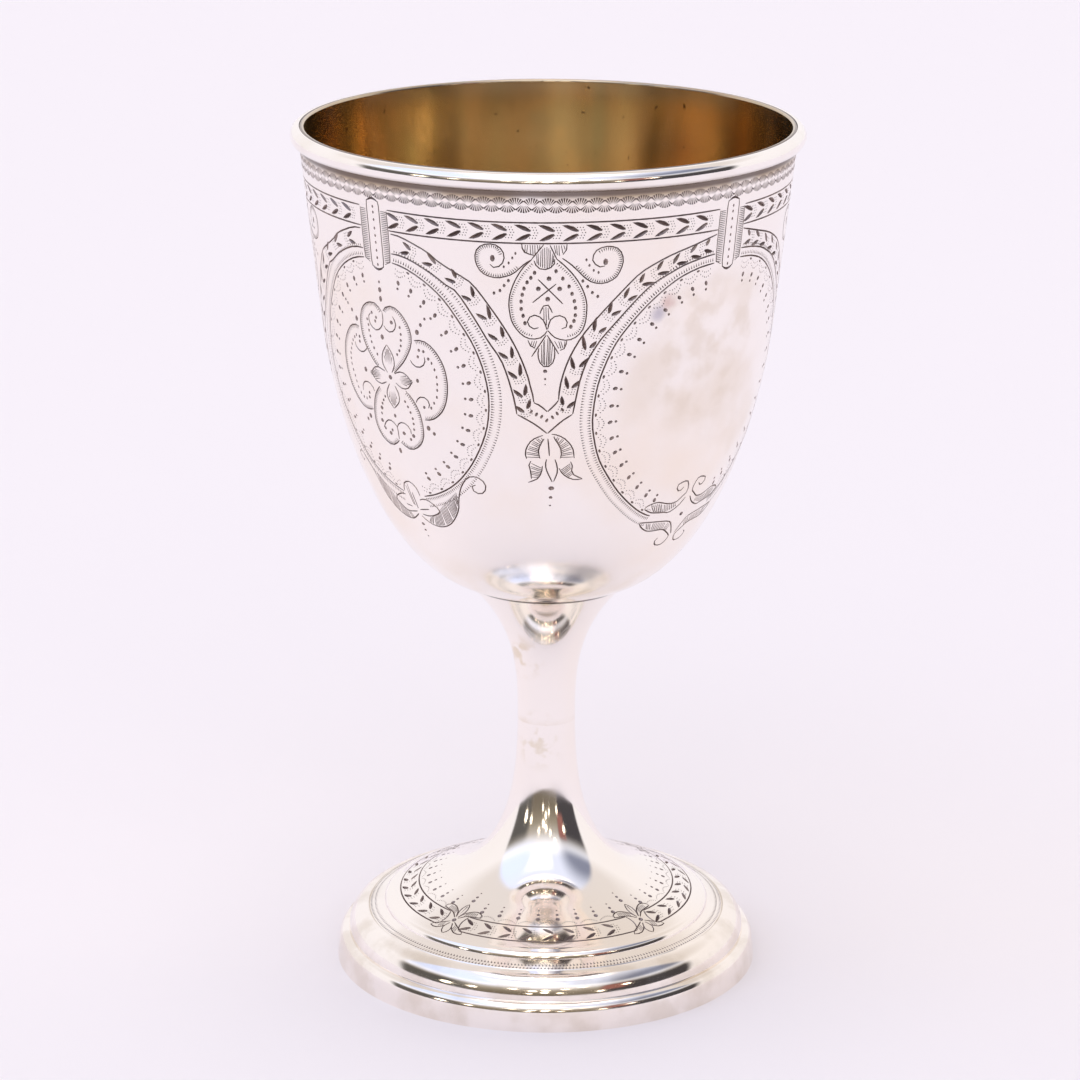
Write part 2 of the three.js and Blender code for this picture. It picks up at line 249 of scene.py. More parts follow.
def turned_normals(piece, outline, corner=32):
    """Gives uncut faces the normals of the true turned surface, and the cuts flat ones."""
    mesh = piece.data
    points = np.array(outline) / 1000
    edges = np.roll(points, -1, axis=0) - points
    sides = np.c_[edges[:, 1], -edges[:, 0]] / np.linalg.norm(edges, axis=1)[:, None]
    following = np.roll(points, -1, axis=0)
    if (points[:, 0] * following[:, 1] - following[:, 0] * points[:, 1]).sum() < 0:
        sides = -sides
    blend = sides + np.roll(sides, 1, axis=0)
    blend /= np.maximum(np.linalg.norm(blend, axis=1)[:, None], 1e-9)
    smooth = (sides * np.roll(sides, 1, axis=0)).sum(axis=1) > math.cos(math.radians(corner))
    start = np.where(smooth[:, None], blend, sides)
    end = np.where(np.roll(smooth, -1)[:, None], np.roll(blend, -1, axis=0), sides)
    faces = len(mesh.polygons)
    loops = len(mesh.loops)
    places = np.empty(len(mesh.vertices) * 3)
    mesh.vertices.foreach_get("co", places)
    places = places.reshape(-1, 3)
    centres = np.empty(faces * 3)
    mesh.polygons.foreach_get("center", centres)
    centres = centres.reshape(-1, 3)
    flat = np.empty(faces * 3)
    mesh.polygons.foreach_get("normal", flat)
    flat = flat.reshape(-1, 3)
    kinds = np.empty(faces, dtype=np.int32)
    mesh.polygons.foreach_get("material_index", kinds)
    totals = np.empty(faces, dtype=np.int32)
    mesh.polygons.foreach_get("loop_total", totals)
    corners = np.empty(loops, dtype=np.int32)
    mesh.loops.foreach_get("vertex_index", corners)
    spots = np.c_[np.hypot(centres[:, 0], centres[:, 1]), centres[:, 2]]
    nearest = np.empty(faces, dtype=np.int32)
    squares = (edges ** 2).sum(axis=1)
    chunk = 20000
    for low in range(0, faces, chunk):
        part = spots[low:low + chunk, None, :] - points[None]
        share = np.clip((part * edges).sum(axis=2) / squares, 0, 1)
        gap = ((part - share[..., None] * edges) ** 2).sum(axis=2)
        nearest[low:low + chunk] = gap.argmin(axis=1)
    owner = np.repeat(np.arange(faces), totals)
    edge = nearest[owner]
    place = places[corners]
    radius = np.hypot(place[:, 0], place[:, 1])
    part = np.c_[radius, place[:, 2]] - points[edge]
    share = np.clip((part * edges[edge]).sum(axis=1) / squares[edge], 0, 1)
    profile = start[edge] * (1 - share[:, None]) + end[edge] * share[:, None]
    centre = centres[owner]
    around = np.where((radius > 1e-6)[:, None], place[:, :2], centre[:, :2])
    around = around / np.maximum(np.linalg.norm(around, axis=1)[:, None], 1e-9)
    normals = np.c_[around * profile[:, :1], profile[:, 1]]
    cut = kinds[owner] == CUT
    normals[cut] = flat[owner][cut]
    normals /= np.linalg.norm(normals, axis=1)[:, None]
    mesh.polygons.foreach_set("use_smooth", np.ones(faces, dtype=bool))
    mesh.normals_split_custom_set(normals.tolist())
    mesh.update()


class Metal:
    """A metal whose colour is laid in layers, each through a mask of the place on the piece."""

    def __init__(self, name, colour, roughness):
        self.material = bpy.data.materials.new(name)
        self.material.use_nodes = True
        self.tree = self.material.node_tree
        self.shader = self.tree.nodes["Principled BSDF"]
        self.shader.inputs["Metallic"].default_value = 1
        self.shader.inputs["Base Color"].default_value = (*colour, 1)
        self.shader.inputs["Roughness"].default_value = roughness
        self.place = self.tree.nodes.new("ShaderNodeTexCoord").outputs["Object"]
        self.colour = None

    def node(self, kind, **settings):
        node = self.tree.nodes.new(kind)
        for name, value in settings.items():
            setattr(node, name, value)
        return node

    def map(self, value, low, high, first=0.0, last=1.0):
        node = self.node("ShaderNodeMapRange", interpolation_type="SMOOTHSTEP")
        self.tree.links.new(value, node.inputs["Value"])
        numbers = (low, high, first, last)
        for socket, number in zip(("From Min", "From Max", "To Min", "To Max"), numbers):
            node.inputs[socket].default_value = number
        return node.outputs["Result"]

    def noise(self, scale, low, high, stretch=(1, 1, 1), detail=4.0, first=0.0, last=1.0):
        mapping = self.node("ShaderNodeMapping")
        mapping.inputs["Scale"].default_value = stretch
        self.tree.links.new(self.place, mapping.inputs["Vector"])
        node = self.node("ShaderNodeTexNoise")
        node.inputs["Scale"].default_value = scale
        node.inputs["Detail"].default_value = detail
        self.tree.links.new(mapping.outputs["Vector"], node.inputs["Vector"])
        return self.map(node.outputs["Fac"], low, high, first, last)

    def height(self, low, high, first=0.0, last=1.0):
        node = self.node("ShaderNodeSeparateXYZ")
        self.tree.links.new(self.place, node.inputs[0])
        return self.map(node.outputs["Z"], low, high, first, last)

    def near(self, centre, full, none):
        node = self.node("ShaderNodeVectorMath", operation="DISTANCE")
        self.tree.links.new(self.place, node.inputs[0])
        node.inputs[1].default_value = [number / 1000 for number in centre]
        return self.map(node.outputs["Value"], full / 1000, none / 1000, 1, 0)

    def both(self, first, second):
        node = self.node("ShaderNodeMath", operation="MULTIPLY")
        self.tree.links.new(first, node.inputs[0])
        self.tree.links.new(second, node.inputs[1])
        return node.outputs[0]

    def layer(self, mask, colour):
        node = self.node("ShaderNodeMix", data_type="RGBA")
        self.tree.links.new(mask, node.inputs[0])
        if self.colour is None:
            node.inputs[6].default_value = self.shader.inputs["Base Color"].default_value
        else:
            self.tree.links.new(self.colour, node.inputs[6])
        node.inputs[7].default_value = (*colour, 1)
        self.colour = node.outputs[2]
        self.tree.links.new(self.colour, self.shader.inputs["Base Color"])

    def roughness(self, value):
        self.tree.links.new(value, self.shader.inputs["Roughness"])


SILVER = (0.98, 0.93, 0.885)
wall = Metal("bowl_silver", SILVER, 0.14)
wall.layer(wall.noise(32, 0.46, 0.72, last=0.6), (0.95, 0.83, 0.70))
wall.layer(wall.both(wall.near((30, -28, 114), 17, 24), wall.noise(75, 0.36, 0.70, last=0.6)),
           (0.84, 0.74, 0.62))
wall.layer(wall.both(wall.near((28, -30, 122), 9, 17), wall.noise(210, 0.40, 0.66, last=0.5)),
           (0.78, 0.68, 0.56))
wall.layer(wall.both(wall.near((21, -37, 131.5), 1.2, 2.6), wall.noise(300, 0.3, 0.6, last=0.7)),
           (0.62, 0.40, 0.36))
wall.layer(wall.both(wall.near((19, -37.5, 129.6), 1.0, 2.4), wall.noise(300, 0.3, 0.6, last=0.7)),
           (0.42, 0.40, 0.50))
wall.layer(wall.both(wall.height(0.1494, 0.1508), wall.noise(60, 0.30, 0.56, (1, 1, 2), last=0.95)),
           (0.56, 0.45, 0.32))
# Painted shade: a dark line on the wall just under the rim wire, along its solder joint, where the
# wire's shadow falls.
wall.layer(wall.height(0.1504, 0.1513, last=0.9), (0.15, 0.115, 0.10))
wall.layer(wall.both(wall.height(0.085, 0.076), wall.noise(90, 0.45, 0.7, last=0.5)),
           (0.86, 0.74, 0.58))
wall.roughness(wall.noise(140, 0.3, 0.7, first=0.10, last=0.20))
dark_cut = Metal("dark_cut", (0.38, 0.31, 0.29), 0.45)
dark_cut.layer(dark_cut.noise(170, 0.35, 0.65, last=0.8), (0.27, 0.22, 0.21))
gold = Metal("gilt", (0.87, 0.66, 0.37), 0.17)
gold.layer(gold.noise(30, 0.40, 0.62, (1, 1, 0.12), last=0.85), (0.52, 0.37, 0.20))
gold.layer(gold.noise(55, 0.52, 0.68, (1, 1, 0.3), last=0.7), (0.50, 0.44, 0.26))
gold.layer(gold.noise(120, 0.50, 0.70, (1, 1, 0.8), last=0.35), (0.40, 0.27, 0.13))
gold.layer(gold.near((27, 30, 143), 6, 22), (0.70, 0.46, 0.24))
gold.layer(gold.both(gold.near((4, 42, 145), 4, 13), gold.noise(90, 0.3, 0.6)), (0.47, 0.39, 0.24))
gold.layer(gold.height(0.1500, 0.1540, last=0.7), (0.50, 0.43, 0.35))
gold.layer(gold.noise(620, 0.70, 0.74, detail=2, last=0.85), (0.16, 0.10, 0.05))
gold.roughness(gold.noise(70, 0.3, 0.7, (1, 1, 0.2), first=0.10, last=0.24))

# Places on the outline, as radius and height in mm
sheet = 0.9
bottom, seat, joint, shoulder = (0, 69.4), (13.1, 71.37), (14.4, 71.8), (39.75, 120)
lip_radius, wire_foot = 43.4, 151.8
lip_start, lip_top, lip_end = (lip_radius, 154.55), (42.95, 155), (42.5, 154.55)
underside = [bottom] + bezier([bottom, (6.5, 69.4), seat], 6)
belly = [joint] + bezier([joint, (32.08, 77.52), (38.53, 109.33), shoulder], 26)
upper = [(shoulder[0] + 3.65 * i / 4, shoulder[1] + 31.8 * i / 4) for i in range(1, 5)]
outside = underside + belly + upper
lip = [lip_start] + bezier([lip_start, (lip_radius, 155), lip_top], 4)
lip += bezier([lip_top, (42.5, 155), lip_end], 4)
inner = inset(outside, sheet)
inner[0] = (0, 70.3)
bowl_outline = outside + lip + inner[::-1]
bowl = turned("bowl", bowl_outline, steps=128)
for metal in (wall, dark_cut, gold):
    bowl.data.materials.append(metal.material)
for face in bowl.data.polygons:
    outward = face.normal.x * face.center.x + face.normal.y * face.center.y
    floor_face = face.normal.z > 0.5 and face.center.z < 0.09
    if face.center.z > 0.0699 and (outward < 0 or floor_face):
        face.material_index = INSIDE

# ---- engraving, drawn on the unrolled wall: x in mm round a 40 mm cylinder from the front,
# y in mm down the wall from the rim wire.


def smooth(points, pitch, closed=False):
    """Points at even steps along a curve through the given ones."""
    knots = [Vector(p) for p in points]
    if closed:
        knots = [knots[-1], *knots, knots[0], knots[1]]
    else:
        knots = [2 * knots[0] - knots[1], *knots, 2 * knots[-1] - knots[-2]]
    path = []
    for a, b, c, d in zip(knots, knots[1:], knots[2:], knots[3:]):
        for i in range(8):
            t = i / 8
            path.append(0.5 * (2 * b + (c - a) * t + (2 * a - 5 * b + 4 * c - d) * t * t
                               + (3 * b - a - 3 * c + d) * t ** 3))
    path.append(knots[-2])
    lengths = [0]
    for a, b in zip(path, path[1:]):
        lengths.append(lengths[-1] + (b - a).length)
    count = max(2, round(lengths[-1] / pitch))
    result = []
    k = 1
    for i in range(count + 1):
        aim = lengths[-1] * i / count
        while k < len(lengths) - 1 and lengths[k] < aim:
            k += 1
        share = (aim - lengths[k - 1]) / max(lengths[k] - lengths[k - 1], 1e-9)
        result.append(path[k - 1].lerp(path[k], min(share, 1)))
    return result[:-1] if closed else result


def line(points, width=0.28, pitch=1.3, closed=False):
    """One long stroke through the points; an open one is pointed at both ends."""
    path = smooth(points, pitch, closed)
    if closed:
        return [("groove", [(*p, width) for p in path], True)]
    start, end = path[0].lerp(path[1], 0.15), path[-1].lerp(path[-2], 0.15)
    stations = [(*path[0], 0), (*start, width * 0.7)]
    stations += [(*p, width) for p in path[1:-1]]
    stations += [(*end, width * 0.7), (*path[-1], 0)]
    return [("groove", stations, False)]


def leaf(start, end, width=0.8, bend=0.0):
    """One broad stroke, pointed at both ends; bend moves its middle to the right."""
    a, b = Vector(start), Vector(end)
    a += (a - b) * 0.1
    right = Vector((a.y - b.y, b.x - a.x)).normalized() * bend
    shape = ((0, 0), (0.3, 0.75), (0.6, 1), (0.85, 0.7), (1, 0))
    return [("groove", [(*(a.lerp(b, t) + right * 4 * t * (1 - t)), width * w) for t, w in shape],
             False)]


def tick(fine, wide, width):
    """A short stroke that starts fine and ends wide."""
    return [("groove", [(*fine, 0), (*wide, width)], False)]


def dot(x, y, size, tall=None, lean=0):
    """One punch mark; lean turns it, in radians."""
    return [("dot", (x, y), size / 2, (tall or size) / 2, lean)]


def dots(places, size, tall=None):
    return [cut for x, y in places for cut in dot(x, y, size, tall)]


def lines(paths, width=0.26, pitch=1.3):
    return [cut for path in paths for cut in line(path, width, pitch)]


def beside(path, across):
    """Moves each point of a path to its right, seen along it, on a drawing with y down."""
    moved = []
    for i, point in enumerate(path):
        step = (path[min(i + 1, len(path) - 1)] - path[max(i - 1, 0)]).normalized()
        moved.append(point + across * Vector((-step.y, step.x)))
    return moved


def fringe(points, near, far, pitch=0.42, width=0.24):
    """Ticks across a curve, from near to far at its right, fine at the far end."""
    path = smooth(points, pitch)[1:-1]
    pairs = zip(beside(path, far), beside(path, near))
    return [cut for fine, wide in pairs for cut in tick(fine, wide, width)]


def hatch(first, second, pitch=0.36, width=0.17):
    """Even strokes from one curve to another."""
    a = smooth(first, pitch)
    b = smooth(second, pitch)
    count = min(len(a), len(b))
    result = []
    for i in range(1, count - 1):
        start = a[round(i * (len(a) - 1) / (count - 1))]
        end = b[round(i * (len(b) - 1) / (count - 1))]
        result.append(("groove", [(*start, width * 0.7), (*end, width)], False))
    return result


def stipple(tip, way, back=2.3, half=1.3, ahead=1.25, pitch=0.46):
    """Fine punch marks round the outside of a pair of leaves that meet at a tip."""
    way = Vector(way).normalized()
    side = Vector((-way.y, way.x))
    result = []
    rows = int(half / pitch)
    for row in range(-rows, rows + 1):
        across = row * pitch
        along = 0.55 - abs(across) / half * (back - 0.5)
        while along < ahead - abs(across) * 0.3:
            place = Vector(tip) + way * along + side * across
            result += tick(place - way * 0.14, place + way * 0.14, 0.27)
            along += pitch
    return result


def placed(cuts, centre=0.0, side=1):
    """The same strokes moved along the wall, or also mirrored."""
    result = []
    for cut in cuts:
        if cut[0] == "groove":
            result.append(("groove", [(centre + side * x, y, w) for x, y, w in cut[1]], cut[2]))
        else:
            x, y = cut[1]
            result.append(("dot", (centre + side * x, y), cut[2], cut[3], side * cut[4]))
    return result


def wall_map(rows, unit):
    """From the drawing to a place on the wall and the way out of it; rows are y, radius, height."""
    def place(x, y):
        i = 1
        while i < len(rows) - 1 and rows[i][0] < y:
            i += 1
        (y0, r0, z0), (y1, r1, z1) = rows[i - 1], rows[i]
        share = (y - y0) / (y1 - y0)
        radius, height = r0 + (r1 - r0) * share, z0 + (z1 - z0) * share
        length = math.hypot(r1 - r0, z1 - z0)
        out_r, out_z = (z0 - z1) / length, (r1 - r0) / length
        sin, cos = math.sin(x / unit), math.cos(x / unit)
        spot = Vector((radius * sin, -radius * cos, height))
        return spot, Vector((out_r * sin, -out_r * cos, out_z))
    return place


rise = 0.04  # how far a cutter stands out of the wall, in mm, so that it cuts cleanly


def add_groove(place, stations, closed, corners, faces):
    """One V-shaped cutter, deeper where it is wider."""
    spots = [place(x, y) for x, y, _ in stations]
    count = len(stations)
    rings = []
    for i, (spot, out) in enumerate(spots):
        width = stations[i][2]
        if closed:
            along = spots[(i + 1) % count][0] - spots[i - 1][0]
        else:
            along = spots[min(i + 1, count - 1)][0] - spots[max(i - 1, 0)][0]
        top = spot + out * rise
        first = len(corners)
        if width == 0:
            corners.append(top)
            rings.append((first,))
            continue
        depth = 0.05 + 0.5 * width
        side = along.cross(out).normalized() * (width / 2 * (1 + rise / depth))
        corners.extend((top - side, top + side, spot - out * depth))
        rings.append((first, first + 1, first + 2))
    pairs = list(zip(rings, rings[1:]))
    if closed:
        pairs.append((rings[-1], rings[0]))
    for a, b in pairs:
        if len(a) == 1:
            faces.extend(((a[0], b[1], b[0]), (a[0], b[0], b[2]), (a[0], b[2], b[1])))
        elif len(b) == 1:
            faces.extend(((a[0], a[1], b[0]), (a[2], a[0], b[0]), (a[1], a[2], b[0])))
        else:
            faces.extend(((a[0], a[1], b[1], b[0]), (a[1], a[2], b[2], b[1]), (a[2], a[0], b[0], b[2])))
    if not closed:
        if len(rings[0]) == 3:
            faces.append((rings[0][0], rings[0][2], rings[0][1]))
        if len(rings[-1]) == 3:
            faces.append(rings[-1])


def add_dot(place, centre, half_x, half_y, lean, corners, faces):
    """One pyramid-shaped punch."""
    spot, out = place(*centre)
    depth = 0.08 + 0.3 * min(half_x, half_y) * 2
    along = Vector((-out.y, out.x, 0)).normalized()
    down = along.cross(out)
    grown = 1 + rise / depth
    first = len(corners)
    small = max(half_x, half_y) < 0.26
    count = 4 if small else 7
    for i in range(count):
        turn = -math.tau * i / count
        a, b = half_x * math.cos(turn), half_y * math.sin(turn)
        x = a * math.cos(lean) - b * math.sin(lean)
        y = a * math.sin(lean) + b * math.cos(lean)
        corners.append(spot + out * rise + (along * x + down * y) * grown)
    corners.append(spot - out * depth)
    ring = list(range(first, first + count))
    faces.append(ring)
    for a, b in zip(ring, ring[1:] + ring[:1]):
        faces.append((b, a, first + count))


def touched(cut, cell, columns):
    """The squares of the drawing that a stroke may touch, with a little room round it."""
    sample = 0.05
    if cut[0] == "groove":
        path = [p[:2] for p in cut[1]]
        if cut[2]:
            path.append(path[0])
        width = max(p[2] for p in cut[1])
    else:
        (x, y), wide = cut[1], max(cut[2], cut[3])
        path = [(x - wide, y), (x + wide, y)]
        width = wide * 2
    half = width * 0.58 + 0.06
    offsets = np.linspace(-half, half, int(2 * half / sample) + 2)
    found = []
    for (x0, y0), (x1, y1) in zip(path, path[1:]):
        length = math.hypot(x1 - x0, y1 - y0)
        share = np.linspace(0, 1, int(length / sample) + 2)[:, None]
        xs = x0 + (x1 - x0) * share - (y1 - y0) / length * offsets
        ys = y0 + (y1 - y0) * share + (x1 - x0) / length * offsets
        squares = np.floor(ys / cell) * columns + np.floor(xs / cell) % columns
        found.append(squares.astype(int).ravel())
    return np.unique(np.concatenate(found))


def engrave(piece, place, cuts, round_trip, drop):
    """Cuts strokes out of a piece, in passes in which no two cutters touch."""
    cell = 0.12
    columns = math.ceil(round_trip / cell)
    layers, groups = [], []
    for cut in cuts:
        squares = touched(cut, cell, columns)
        for layer, group in zip(layers, groups):
            if not layer[squares].any():
                break
        else:
            layer, group = np.zeros(columns * math.ceil(drop / cell), dtype=bool), []
            layers.append(layer)
            groups.append(group)
        layer[squares] = True
        group.append(cut)
    for group in groups:
        corners, faces = [], []
        for cut in group:
            if cut[0] == "groove":
                add_groove(place, cut[1], cut[2], corners, faces)
            else:
                add_dot(place, *cut[1:], corners, faces)
        mesh = bpy.data.meshes.new("cutters")
        mesh.from_pydata([corner / 1000 for corner in corners], [], faces)
        for material in piece.data.materials:
            mesh.materials.append(material)
        mesh.polygons.foreach_set("material_index", np.full(len(mesh.polygons), CUT, dtype=np.int32))
        tool = bpy.data.objects.new("cutters", mesh)
        scene.collection.objects.link(tool)
        modifier = piece.modifiers.new("engraving", "BOOLEAN")
        modifier.operation = "DIFFERENCE"
        modifier.solver = "MANIFOLD"
        modifier.object = tool
        bpy.ops.object.select_all(action="DESELECT")
        bpy.context.view_layer.objects.active = piece
        piece.select_set(True)
        bpy.ops.object.modifier_apply(modifier="engraving")
        bpy.data.objects.remove(tool)
        bpy.data.meshes.remove(mesh)


# The drawing comes twice round the bowl, and its parts mirror about the medallions' middles.
bowl_unroll = 40
half_round = 125.66
decorated_middle, blank_middle = -30.26, 32.57

# Fan border under the rim wire: upright fans, and hanging ones half a fan further on
border = []
fans = 101
ray_start, ray_end = 0.2, 1.7
for i in range(fans):
    upright = math.tau * bowl_unroll * i / fans
    hanging = upright + math.tau * bowl_unroll / 2 / fans
    for k in range(-3, 4):
        ray = math.radians(15 * k)
        out = Vector((math.sin(ray), math.cos(ray)))
        for x, y, way in ((upright, 2.95, -1), (hanging, 2.15, 1)):
            border += tick((x + ray_start * out.x, y + way * ray_start * out.y),
                           (x + ray_end * out.x, y + way * ray_end * out.y), 0.33)

# Chevron band between two straps, from the decorated medallion's to the blank one's
band = []
for y in (5.5, 9.08):
    band += line([(-27.4, y), (-10, y + 0.06), (8, y - 0.03), (29.7, y)], 0.28, 2.2)
for i in range(15):
    tip = -25 + 3.72 * i
    band += leaf((tip - 2.45, 6.0), (tip + 0.1, 7.1), bend=-0.13)
    band += leaf((tip - 2.35, 8.6), (tip + 0.05, 7.4), bend=0.13)
    band += stipple((tip, 7.25), (1, 0))

# Strap on the middle of a medallion
strap = line([(-1.35, 5.2), (-1.2, 4.3), (0, 3.9), (1.2, 4.3), (1.35, 5.2), (1.35, 10), (1.35, 15),
              (1.1, 15.9), (0, 16.3), (-1.1, 15.9), (-1.35, 15), (-1.35, 10)], 0.24, 0.9, closed=True)
strap += line([(-1, 4.2), (0, 3.8), (1, 4.2)], 0.4, 0.5)
strap += line([(-1, 16), (0, 16.4), (1, 16)], 0.4, 0.5)
strap += dots([(0, y) for y in (5.3, 6.3, 7.6, 9.1, 10.4, 11.6, 13, 14.3, 15.5)], 0.45, 0.6)
for side in (-1, 1):
    wing = line([(2.9, 5.6), (2.95, 9), (2.9, 14), (2.5, 15.1), (1.6, 15.3)], 0.2, 1.5)
    strap += placed(wing, 0, side)
    strap += placed(hatch([(1.65, 5.6), (1.65, 15.1)], [(2.8, 5.6), (2.8, 15.1)], 0.33), 0, side)

# Garland arms that meet in a V under the spandrel leaf
spandrel = lines([
    [(-27, 9.6), (-25, 9.8), (-23, 10.5), (-20, 11.8), (-18, 13.3), (-15, 15), (-12.5, 16.5),
     (-10, 19.7), (-7, 24.3), (-5, 28.1), (-3.5, 32), (-3, 34), (-2.5, 36), (-2.3, 37.4)],
    [(-27.2, 13.1), (-25, 13.2), (-23, 13.8), (-21, 14.7), (-19, 15.8), (-17, 17.2), (-15, 18.4),
     (-12, 23), (-10, 26.5), (-8, 29.5), (-7, 32), (-6.3, 34.5), (-5.7, 37), (-5.3, 39.7)],
    [(29.5, 9.8), (25, 11), (21, 12.1), (18, 13.3), (15, 15), (12, 18), (9, 21.3), (6, 25), (4, 28.5),
     (3, 31), (2.3, 33.5), (2, 35.5), (1.9, 36.9)],
    [(29.5, 13.3), (26.5, 13.6), (23, 14.4), (20, 15.7), (17.5, 17), (15, 19.2), (12, 22.5), (9, 26),
     (7.6, 28.2), (6.6, 30), (5.6, 33), (5, 36), (4.4, 39.6)],
], 0.3, 1.6)
spandrel += lines([
    [(-2.4, 37.3), (-1.2, 37.9), (0, 39)], [(1.95, 36.8), (1.2, 37.8), (0, 39)],
    [(-5.3, 39.6), (-3.8, 40.4), (-2, 41.5), (0, 43.1)], [(4.4, 39.5), (2.5, 40.8), (0, 43.1)],
], 0.3, 1.0)
arm_leaves = [
    ((-24.5, 10.7), (-23, 12), (-25.2, 12.6), (-23.3, 12.3)),
    ((-20, 12), (-18.4, 13.9), (-21, 13.8), (-19, 13.9)),
    ((-15.8, 14.3), (-15, 16), (-17, 16), (-15, 16.6)),
    ((-12.6, 17), (-12.2, 19.1), (-14.2, 18.8), (-12.5, 19.5)),
    ((-10, 20.2), (-9.5, 22.8), (-11.8, 21.8), (-9.9, 22.7)),
    ((-7.8, 23.8), (-7.4, 25.9), (-9.9, 25.2), (-8.2, 26.3)),
    ((-6.1, 27.3), (-6, 29.5), (-8.2, 28.4), (-6.5, 29.5)),
    ((-4.7, 30.2), (-4.7, 32.7), (-6.7, 31.7), (-5, 33)),
    ((-3.7, 34), (-4, 36.2), (-5.8, 35), (-4.1, 36.4)),
    ((-3, 36.7), (-3.6, 38.6), (-5.4, 38), (-3.9, 39.2)),
    ((28, 10.5), (27.2, 11.6), (28.7, 12.7), (26.8, 12.2)),
    ((25.4, 11.1), (24.1, 12.4), (26.4, 13.3), (24.2, 12.9)),
    ((22.1, 12.1), (20.9, 14), (23.7, 13.8), (21.5, 13.9)),
    ((19.1, 13.1), (18.1, 14.8), (20.4, 15.1), (18.1, 15.3)),
    ((15.9, 15), (15.2, 16.7), (17.7, 16.7), (15.4, 16.9)),
    ((13.4, 17.3), (12.6, 19.2), (14.8, 18.7), (13.1, 19.5)),
    ((10.6, 19.8), (10.1, 21.7), (12.1, 21.2), (10.4, 21.9)),
    ((8, 22.2), (7.7, 24.8), (9.7, 24), (8.4, 24.9)),
    ((5.9, 25.3), (6.4, 28.1), (8.1, 26.4), (6.9, 27.6)),
    ((4, 29.1), (4.6, 31.4), (6.8, 29.3), (5.2, 31)),
    ((3.1, 32.5), (3.6, 34.9), (5.6, 33.2), (4, 34.7)),
    ((2.5, 36.1), (2.8, 37.9), (4.8, 37), (3.3, 38.3)),
]
for first, first_tip, second, second_tip in arm_leaves:
    turn = (first[0] - second[0]) * (first_tip[1] - first[1])
    turn -= (first[1] - second[1]) * (first_tip[0] - first[0])
    bend = -math.copysign(0.12, turn)
    spandrel += leaf(first, first_tip, 0.76, bend) + leaf(second, second_tip, 0.76, -bend)
    tip = (Vector(first_tip) + Vector(second_tip)) / 2
    way = tip - (Vector(first) + Vector(second)) / 2
    spandrel += stipple(tip, way, 2.0, 1.15, 1.1)
for x, y in ((-2.8, 39), (-1.9, 39.5), (-1, 39.9), (-0.1, 40.6), (0.9, 40), (1.7, 39.3), (2.6, 38.6)):
    spandrel += dot(x, y, 0.5, 0.9, -0.5 if x > 0 else 0.5)

